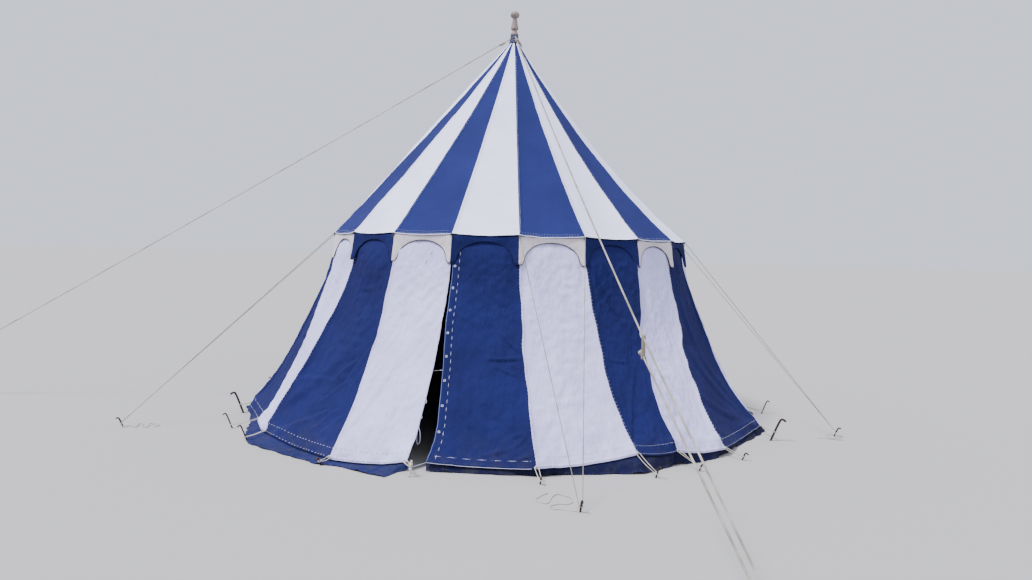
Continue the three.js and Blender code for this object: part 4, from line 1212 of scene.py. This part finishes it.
# the lashing is in the darker crown hemp: painted shade
lashingTurns = [tubeArrays(coil((0, 0, tent["roofTopHeight"] + height), (0, 0, 1), reach, turns, 0.006, 0.4),
                           0.0028, 8, 3, 0.014) for height, reach, turns in lashing]
declare(joinTubes("crown_lashing", lashingTurns, "crownHemp"), "rope")
for nodeName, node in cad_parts.items():
    if nodeName == "centre_pole" or "peg" in nodeName:
        node.data.materials.clear()
        node.data.materials.append(finishes["iron" if "peg" in nodeName else "oiledWood"])
print("stage: pole and finial turned")


# ropes; each stay: side, azimuth, distance of its peg, share of the runner, sag, place on the pole
storm = {"radius": 0.006, "ringPitch": 0.0158, "pegRadius": 0.008, "loopHeight": 0.060, "step": 0.006,
         "pegRise": 0.014, "pastRunner": 0.024,
         # the two coils of the stopper knot: tilt and turns; and the binding near the pole
         "stopper": [((0, 0, 0), 2.6), ((0.5, 0.2, 0.4), 2.2)], "stopperRadius": 1.9,
         "binding": {"share": 0.014, "radius": 2.0, "turns": 5.0, "cord": 0.95},
         "stays": [("left", -74.6, 6.4, 0.845, 0.020, 0), ("front", 27.9, 5.4, 0.69, 0.090, 1),
                   ("back", 168, 6.0, 0.80, 0.040, 2)],
         "runner": {"length": 0.15, "depth": 0.02, "width": 0.026, "holeFromEnd": 0.022}}
guy = {"radius": 0.003, "pegRadius": 0.007, "loopHeight": 0.040, "knotRadius": 0.008, "lay": 0.018,
       "below": 0.003, "coil": {"radius": 1.2, "turns": 2.4, "pitch": 0.005}, "step": 0.004,
       # side, the two eave corners, azimuth and distance of the peg
       "stays": [("left", (-4, -3), -54, 3.65), ("front", (1, 2), 24, 3.36), ("right", (5, 6), 88, 3.265),
                 ("back", (-9, -8), -153, 3.5)]}
pegLean = math.radians(22)


def pegMiddle(foot, azimuth, z):
    return foot + polar(1, azimuth, 0) * (z * math.tan(pegLean)) + np.array([0, 0, z])


def pegLoop(foot, azimuth, z, rise, reach):
    # half a turn round the far side of a leaning peg
    a = np.linspace(0, np.pi, 25)[:, None]
    height = z + rise * (0.5 - np.linspace(0, 1, 25))
    middle = np.array([pegMiddle(foot, azimuth, h) for h in height])
    return ringPoints(middle, reach, a, *outAndSide(azimuth)[::-1])


def loopReach(pegRadius, ropeRadius):
    return pegRadius / math.cos(pegLean) + ropeRadius + 2 * seatGap


def runnerBar(name, middle, azimuth, bar):
    # a worn bar, thinner in its middle; half width = widest (1 - 0.2 cos(pi v / 2)), rounded at both ends:
    # (1 - |v| ** 14) ** 0.5, with v from -1 to 1 up the bar; its section is a rounded square
    v = np.sin(np.linspace(-1, 1, 61) * np.pi / 2)
    rounding = np.sqrt(np.clip(1 - np.abs(v) ** 14, 0, 1)) + 0.01
    waist = 1 - 0.20 * np.cos(np.pi * v / 2)
    a = circle(40)
    square = 1 / (np.abs(np.cos(a)) ** 4 + np.abs(np.sin(a)) ** 4) ** 0.25
    out, side = outAndSide(azimuth)
    section = ((square * np.cos(a))[:, None] * side * bar["width"] / 2
               + (square * np.sin(a))[:, None] * out * bar["depth"] / 2)
    size = (rounding * waist)[:, None, None]
    points = middle + size * section[None] + np.array([0, 0, 1]) * (v * bar["length"] / 2)[:, None, None]
    return newPiece(name, points.reshape(-1, 3), gridFaces(len(v), len(a), wrap=True), [finishes["greyWood"]])


def stormRope(side, azimuth, reach, runnerAt, sag, turn):
    radius, bar = storm["radius"], storm["runner"]
    z = tent["roofTopHeight"] + seatGap + pole["collarHeight"] + radius + seatGap + turn * storm["ringPitch"]
    ringRadius = (pole["radius"] + seatGap) / math.cos(math.pi / 16) + radius
    start, foot = polar(ringRadius, azimuth, z), polar(reach, azimuth, 0.0)
    pegTurn = pegMiddle(foot, azimuth, storm["loopHeight"])

    def run(share):
        share = np.asarray(share, float)[..., None]
        return start + (pegTurn - start) * share - np.array([0, 0, 1]) * sag * 4 * share * (1 - share)

    upper = run(runnerAt)
    lower = upper - np.array([0, 0, bar["length"] - 2 * bar["holeFromEnd"]])
    onward = unit(upper - run(runnerAt - 0.01))
    loop = pegLoop(foot, azimuth, storm["loopHeight"], storm["pegRise"], loopReach(storm["pegRadius"], radius))
    back = unit(loop[-1] - lower)
    half = bar["depth"] / 2 + storm["pastRunner"]
    down = run(np.linspace(0, 0.97 * runnerAt, int(reach * runnerAt / storm["step"])))
    rest = [upper - onward * half, upper + onward * half, *loop, lower + back * half, lower - back * half]
    path = np.concatenate([down[:-1], linePath([down[-1], *rest], storm["step"])])
    tubes = [tubeArrays(path, radius, 12, 3)]
    # the stopper knot below the runner, with its turns one over the other
    for tilt, turns in storm["stopper"]:
        knot = coil(lower - back * half, back + np.array(tilt), radius * storm["stopperRadius"], turns,
                    radius * 2 * 0.6)
        tubes.append(tubeArrays(knot, radius, 10))
    binding = storm["binding"]
    bound = coil(run(binding["share"]), onward, radius * binding["radius"], binding["turns"], radius * 2)
    tubes.append(tubeArrays(bound, radius * binding["cord"], 10))
    declare(joinTubes(f"storm_line_{side}", tubes, "hemp" if side == "left" else "stormHemp"),
            "rope", f"storm_rope_{side}")
    # the turn round the pole is in the darker crown hemp: painted shade
    ring = coil((0, 0, z), (0, 0, 1), ringRadius, 1.0, 0.0)[:-1]
    declare(joinTubes(f"crown_turn_{side}", [tubeArrays(ring, radius, 12, 3, closed=True)], "crownHemp"), "rope")
    declare(runnerBar(f"runner_{side}", (upper + lower) / 2, azimuth, bar), "weathered_wood", f"storm_runner_{side}")


def guyRope(side, corners, azimuth, reach):
    foot = polar(reach, azimuth, 0.0)
    out = tent["eaveRadius"] + seatGap + guy["knotRadius"]
    knots = [polar(out, corner * bayAngle, tent["eaveHeight"] - guy["below"]) for corner in corners]
    loop = pegLoop(foot, azimuth, guy["loopHeight"], 0, loopReach(guy["pegRadius"], guy["radius"]))
    path = linePath([knots[1], *loop, knots[0]], guy["step"])
    tubes = [tubeArrays(path, guy["radius"], 9, 3, guy["lay"])]
    for knot, end in zip(knots, (loop[-1], loop[0])):
        turns = coil(knot, unit(end - knot), guy["radius"] * guy["coil"]["radius"], guy["coil"]["turns"],
                     guy["coil"]["pitch"])
        tubes.append(tubeArrays(turns, guy["radius"], 8))
    declare(joinTubes(f"guy_line_{side}", tubes, "greyHemp"), "rope", f"guy_rope_{side}")


for stay in storm["stays"]:
    stormRope(*stay)
for stay in guy["stays"]:
    guyRope(*stay)
print("stage: ropes rigged")


# loose rope tails: (outwards, rightwards, height) from the foot of the guy peg, in millimetres
tailRoutes = {
    "left": [
        (16, 17.4, 42), (9, 25, 16), (-16, 24, 6), (-44, -14, 4.5), (-62, -22, 4.5), (-76, 0, 4.2), (-84, 44, 4.2),
        (-99, 58, 4.2), (-112, 40, 4.2), (-122, -60, 4.2), (-130, -84, 4.2), (-143, -94, 4.2), (-154, -78, 4.2),
        (-160, -40, 4.2), (-170, 60, 4.2), (-194, 86, 4.2), (-212, 20, 4.2),
        (-216, -90, 4.2), (-244, -70, 4.2), (-246, 30, 4.2), (-272, 64, 4.2), (-300, 24, 4.2), (-282, -50, 4.2),
    ],
    "front": [
        (16, -17.4, 42), (10, -26, 16), (-20, -46, 4.5), (-49, -110, 4.2), (-60, -160, 4.2), (-108, -176, 4.2),
        (-160, -110, 4.2), (-151, -43, 4.2), (-190, -10, 4.2), (-270, 2, 4.2), (-320, -20, 4.2),
        (-364, -72, 4.2), (-310, -120, 4.2), (-230, -150, 4.2), (-175, -190, 4.2), (-215, -226, 4.2),
        (-264, -240, 4.2), (-340, -190, 4.2), (-396, -134, 4.2),
    ],
    "right": [
        (16, -17.4, 42), (12, -26, 14), (10, -44, 4.5), (50, -50, 4.2), (74, -10, 4.2), (60, 44, 4.2),
        (6, 64, 4.2), (-46, 44, 4.2), (-70, -6, 4.2), (-58, -60, 4.2), (-10, -96, 4.2), (50, -100, 4.2),
        (76, -130, 4.2), (40, -156, 4.2), (-30, -144, 4.2), (-90, -130, 4.2), (-150, -132, 4.2),
    ],
}


def ropeTail(side, route):
    azimuth, reach = next(stay[2:] for stay in guy["stays"] if stay[0] == side)
    axes = np.stack([*outAndSide(azimuth), [0, 0, 1]])
    path = splinePath(polar(reach, azimuth, 0.0) + np.array(route) / 1000 @ axes, guy["step"])
    piece = joinTubes(f"tail_{side}", [tubeArrays(path, guy["radius"], 9, 3, guy["lay"])], "hemp")
    declare(piece, "rope", f"rope_tail_{side}")


for tailSide, tailRoute in tailRoutes.items():
    ropeTail(tailSide, tailRoute)


# hem loops and pegs
hemPeg = {"radius": 0.006, "height": 0.13, "out": 0.15, "loopHeight": 0.034, "rise": 0.014, "cordRadius": 0.0028,
          "lay": 0.02, "step": 0.004, "corner": 0.007, "apart": 0.016, "sag": 0.006, "eyelet": (0.0105, 0.0024),
          # radius, turns and pitch of the coils at the cloth's corner and round the peg, outside its radius
          "knot": (0.007, 2.2, 0.004), "wrap": (0.0034, 2.0, 0.006),
          "heights": {-1: 0.05, 0: 0.10, 1: 0.05, 2: 0.085, 3: 0.05, 4: 0.055},
          # two long stakes stand apart from their seams: distance, azimuth, height, radius
          "stakes": {-4: (2.64, -62, 0.19, 0.0095), 5: (2.72, 79, 0.19, 0.0095)},
          "runs": {"front_right": 0, "back_right": 5, "back_left": 10, "front_left": 15}}
doorStake = {"azimuth": 0.84, "reach": 2.72, "height": 0.125, "lean": 0.016, "radius": 0.0072, "cordHeight": 0.063,
             "wrapHeight": 0.094, "cord": 0.0026, "wrapCord": 0.0027, "sag": 0.006,
             "wrap": {"outside": 0.003, "turns": 3.0, "pitch": 0.0058},
             # two bights of cord: where each starts at the shut wall's corner, and its height on the stake
             "bights": [((0, 0, 0.010), 0.098), ((-0.030, -0.002, -0.004), 0.080)]}


def hemPoint(seam, place):
    # the place on the hanging wall at a seam, a little above the hem; place is the seam's in the simulation
    rise = hemPeg["rise"]
    share = rise / (tent["eaveHeight"] - tent["hemHeight"])
    return wallSeam(seam, hemHeight(seam) + rise) + wallMove(np.array(float(place)), np.array(share))


def bentPeg(foot, azimuth, height, radius):
    # a straight shank that leans out, with a hook bent over at its head
    out = polar(1, azimuth, 0)
    head = foot + out * height * math.tan(pegLean) + [0, 0, height]
    hook = [head + out * radius * away + [0, 0, radius * up] for away, up in ((1.2, 1.4), (4, 0.6), (5, -0.6))]
    return splinePath([foot, head, *hook], 0.006)


def stakePoint(height):
    # the stake leans a little towards the flap
    foot = polar(doorStake["reach"], doorStake["azimuth"], height)
    return foot + np.array([doorStake["lean"], 0, 0]) * height / doorStake["height"]


stakeAxis = unit(stakePoint(1.0) - stakePoint(0.0))


def doorStakeLoops():
    # a split stake, with the bights of cord and a few turns round it
    stake = linePath([stakePoint(0), stakePoint(doorStake["height"])], 0.01)
    declare(joinTubes("door_peg", [tubeArrays(stake, doorStake["radius"], 9)], "paleWood"), "weathered_wood")
    corner = hemPoint(0, 20) + [-0.012, -0.007, 0]
    cords = []
    for start, height in doorStake["bights"]:
        for side in (-1, 1):
            near = stakePoint(height) + [side * 0.002, side * 0.0105, 0]
            middle = (corner + start + near) / 2 - [0, 0, doorStake["sag"]]
            far = stakePoint(height - 0.003) + [0.0115, 0, 0]
            path = splinePath([corner + start, middle, near, far], hemPeg["step"])
            cords.append(tubeArrays(path, doorStake["cord"], 8, 3, hemPeg["lay"]))
    wrap = doorStake["wrap"]
    turns = coil(stakePoint(doorStake["wrapHeight"]), stakeAxis, doorStake["radius"] + wrap["outside"],
                 wrap["turns"], wrap["pitch"])
    return cords + [tubeArrays(turns, doorStake["wrapCord"], 8)]


def hemLoops(name, first):
    ropes, pegs, eyelets, radius = [], [], [], hemPeg["cordRadius"]
    for seam in range(first, first + 5):
        if seam == 0:
            ropes += doorStakeLoops()
            continue
        azimuth = seam * bayAngle + float(alongSeams(tent["seamStray"], seam))
        out, side = outAndSide(azimuth)
        number = int(seamNumber(seam))
        usual = (tent["hemRadius"] + hemPeg["out"], azimuth, hemPeg["heights"].get(number, hemPeg["height"]),
                 hemPeg["radius"])
        distance, footAzimuth, height, pegRadius = hemPeg["stakes"].get(number, usual)
        foot = polar(distance, footAzimuth, 0.0)
        pegs.append(tubeArrays(bentPeg(foot, azimuth, height, pegRadius), pegRadius, 12))
        loopHeight = max(hemPeg["loopHeight"], 0.45 * height if number in hemPeg["stakes"] else 0)
        loop = pegLoop(foot, azimuth, loopHeight, 0.0, pegRadius + radius + 0.001)
        corner = hemPoint(seam, seam) + out * hemPeg["corner"]
        for which, turn in enumerate((loop[0], loop[-1])):
            end = corner + side * (hemPeg["apart"], -hemPeg["apart"])[which]
            slack = hemPeg["sag"] * math.sin(3.1 * seam + which)
            middle = (end + turn) / 2 - [0, 0, hemPeg["sag"] + slack]
            ropes.append(tubeArrays(splinePath([end, middle, turn], hemPeg["step"]), radius, 9, 3, hemPeg["lay"]))
        ropes.append(tubeArrays(loop, radius, 9, 3, hemPeg["lay"]))
        ropes.append(tubeArrays(coil(corner + out * 0.002, out, *hemPeg["knot"]), radius, 8))
        wraps = pegMiddle(foot, azimuth, loopHeight)
        outside, turns, pitch = hemPeg["wrap"]
        wrapping = coil(wraps, (wraps - foot) / loopHeight, pegRadius + outside, turns, pitch)
        ropes.append(tubeArrays(wrapping, radius * 0.9, 8))
        ringRadius, eyeletRadius = hemPeg["eyelet"]
        eyelet = ringPoints(corner - out * 0.003, ringRadius, circle(20)[:, None], side, np.cross(out, side))
        eyelets.append(tubeArrays(eyelet, eyeletRadius, 7, closed=True))
    declare(joinTubes(f"hem_loops_{name}", ropes, "hemp"), "rope", f"hem_rope_{name}")
    declare(joinTubes(f"hem_pegs_{name}", pegs, "iron"), "iron")
    declare(joinTubes(f"hem_eyelets_{name}", eyelets, "thread"), "rope")


def doorCord():
    # a thin cord, taut from the stake to the flap's corner and on along the foot of the flap
    line, normals = rowLine(flapCloth, 0.003, 0, flapCloth["perBay"])
    hem = (line + normals * 0.004)[::3]
    wraps = coil(stakePoint(doorStake["cordHeight"]), stakeAxis, doorStake["radius"] + 0.002, 3, 0.004, 2.0)
    tubes = [tubeArrays(wraps, 0.0020, 8), tubeArrays(linePath([wraps[-1], *hem], 0.006), 0.0015, 7)]
    declare(joinTubes("door_cord", tubes, "thread"), "rope")


for runName, firstSeam in hemPeg["runs"].items():
    hemLoops(runName, firstSeam)
doorCord()
print("stage: pegs driven")


# floor and light
stage = {"floorRadius": 300, "floorSides": 96, "floorColour": "#a4a29e", "worldColour": "#dfe4f8",
         "worldStrength": 1.3, "sunColour": "#f4f5ff",
         # each sun: azimuth and height above the ground in degrees, strength, spread in degrees
         "suns": {"key": (-46, 58, 6.4, 14), "fill": (62, 40, 0.9, 60)}}


def makeStage():
    turn = circle(stage["floorSides"])
    rim = np.stack([np.cos(turn), np.sin(turn), 0 * turn], axis=1) * stage["floorRadius"]
    mesh = bpy.data.meshes.new("floor")
    mesh.from_pydata(rim.tolist(), [], [tuple(range(len(turn)))])
    floor = newObject("floor", mesh)
    # matt grey paint, so that the floor throws back soft light without a gleam
    paint = newMaterial("pale floor")[0]
    mesh.materials.append(surface(paint, srgb(stage["floorColour"]), 0.95, {"Specular IOR Level": 0.1}))
    world = bpy.data.worlds.new("studio")
    bpy.context.scene.world = world
    world.use_nodes = True
    background = world.node_tree.nodes["Background"]
    background.inputs["Color"].default_value = srgb(stage["worldColour"])
    background.inputs["Strength"].default_value = stage["worldStrength"]
    for name, (azimuth, height, power, spread) in stage["suns"].items():
        data = bpy.data.lights.new(name, "SUN")
        data.energy, data.color, data.angle = power, srgb(stage["sunColour"])[:3], math.radians(spread)
        place = polar(math.cos(math.radians(height)), azimuth, math.sin(math.radians(height)))
        newObject(name, data).rotation_euler = Vector((-place).tolist()).to_track_quat("-Z", "Y").to_euler()


makeStage()
print("stage: lit")
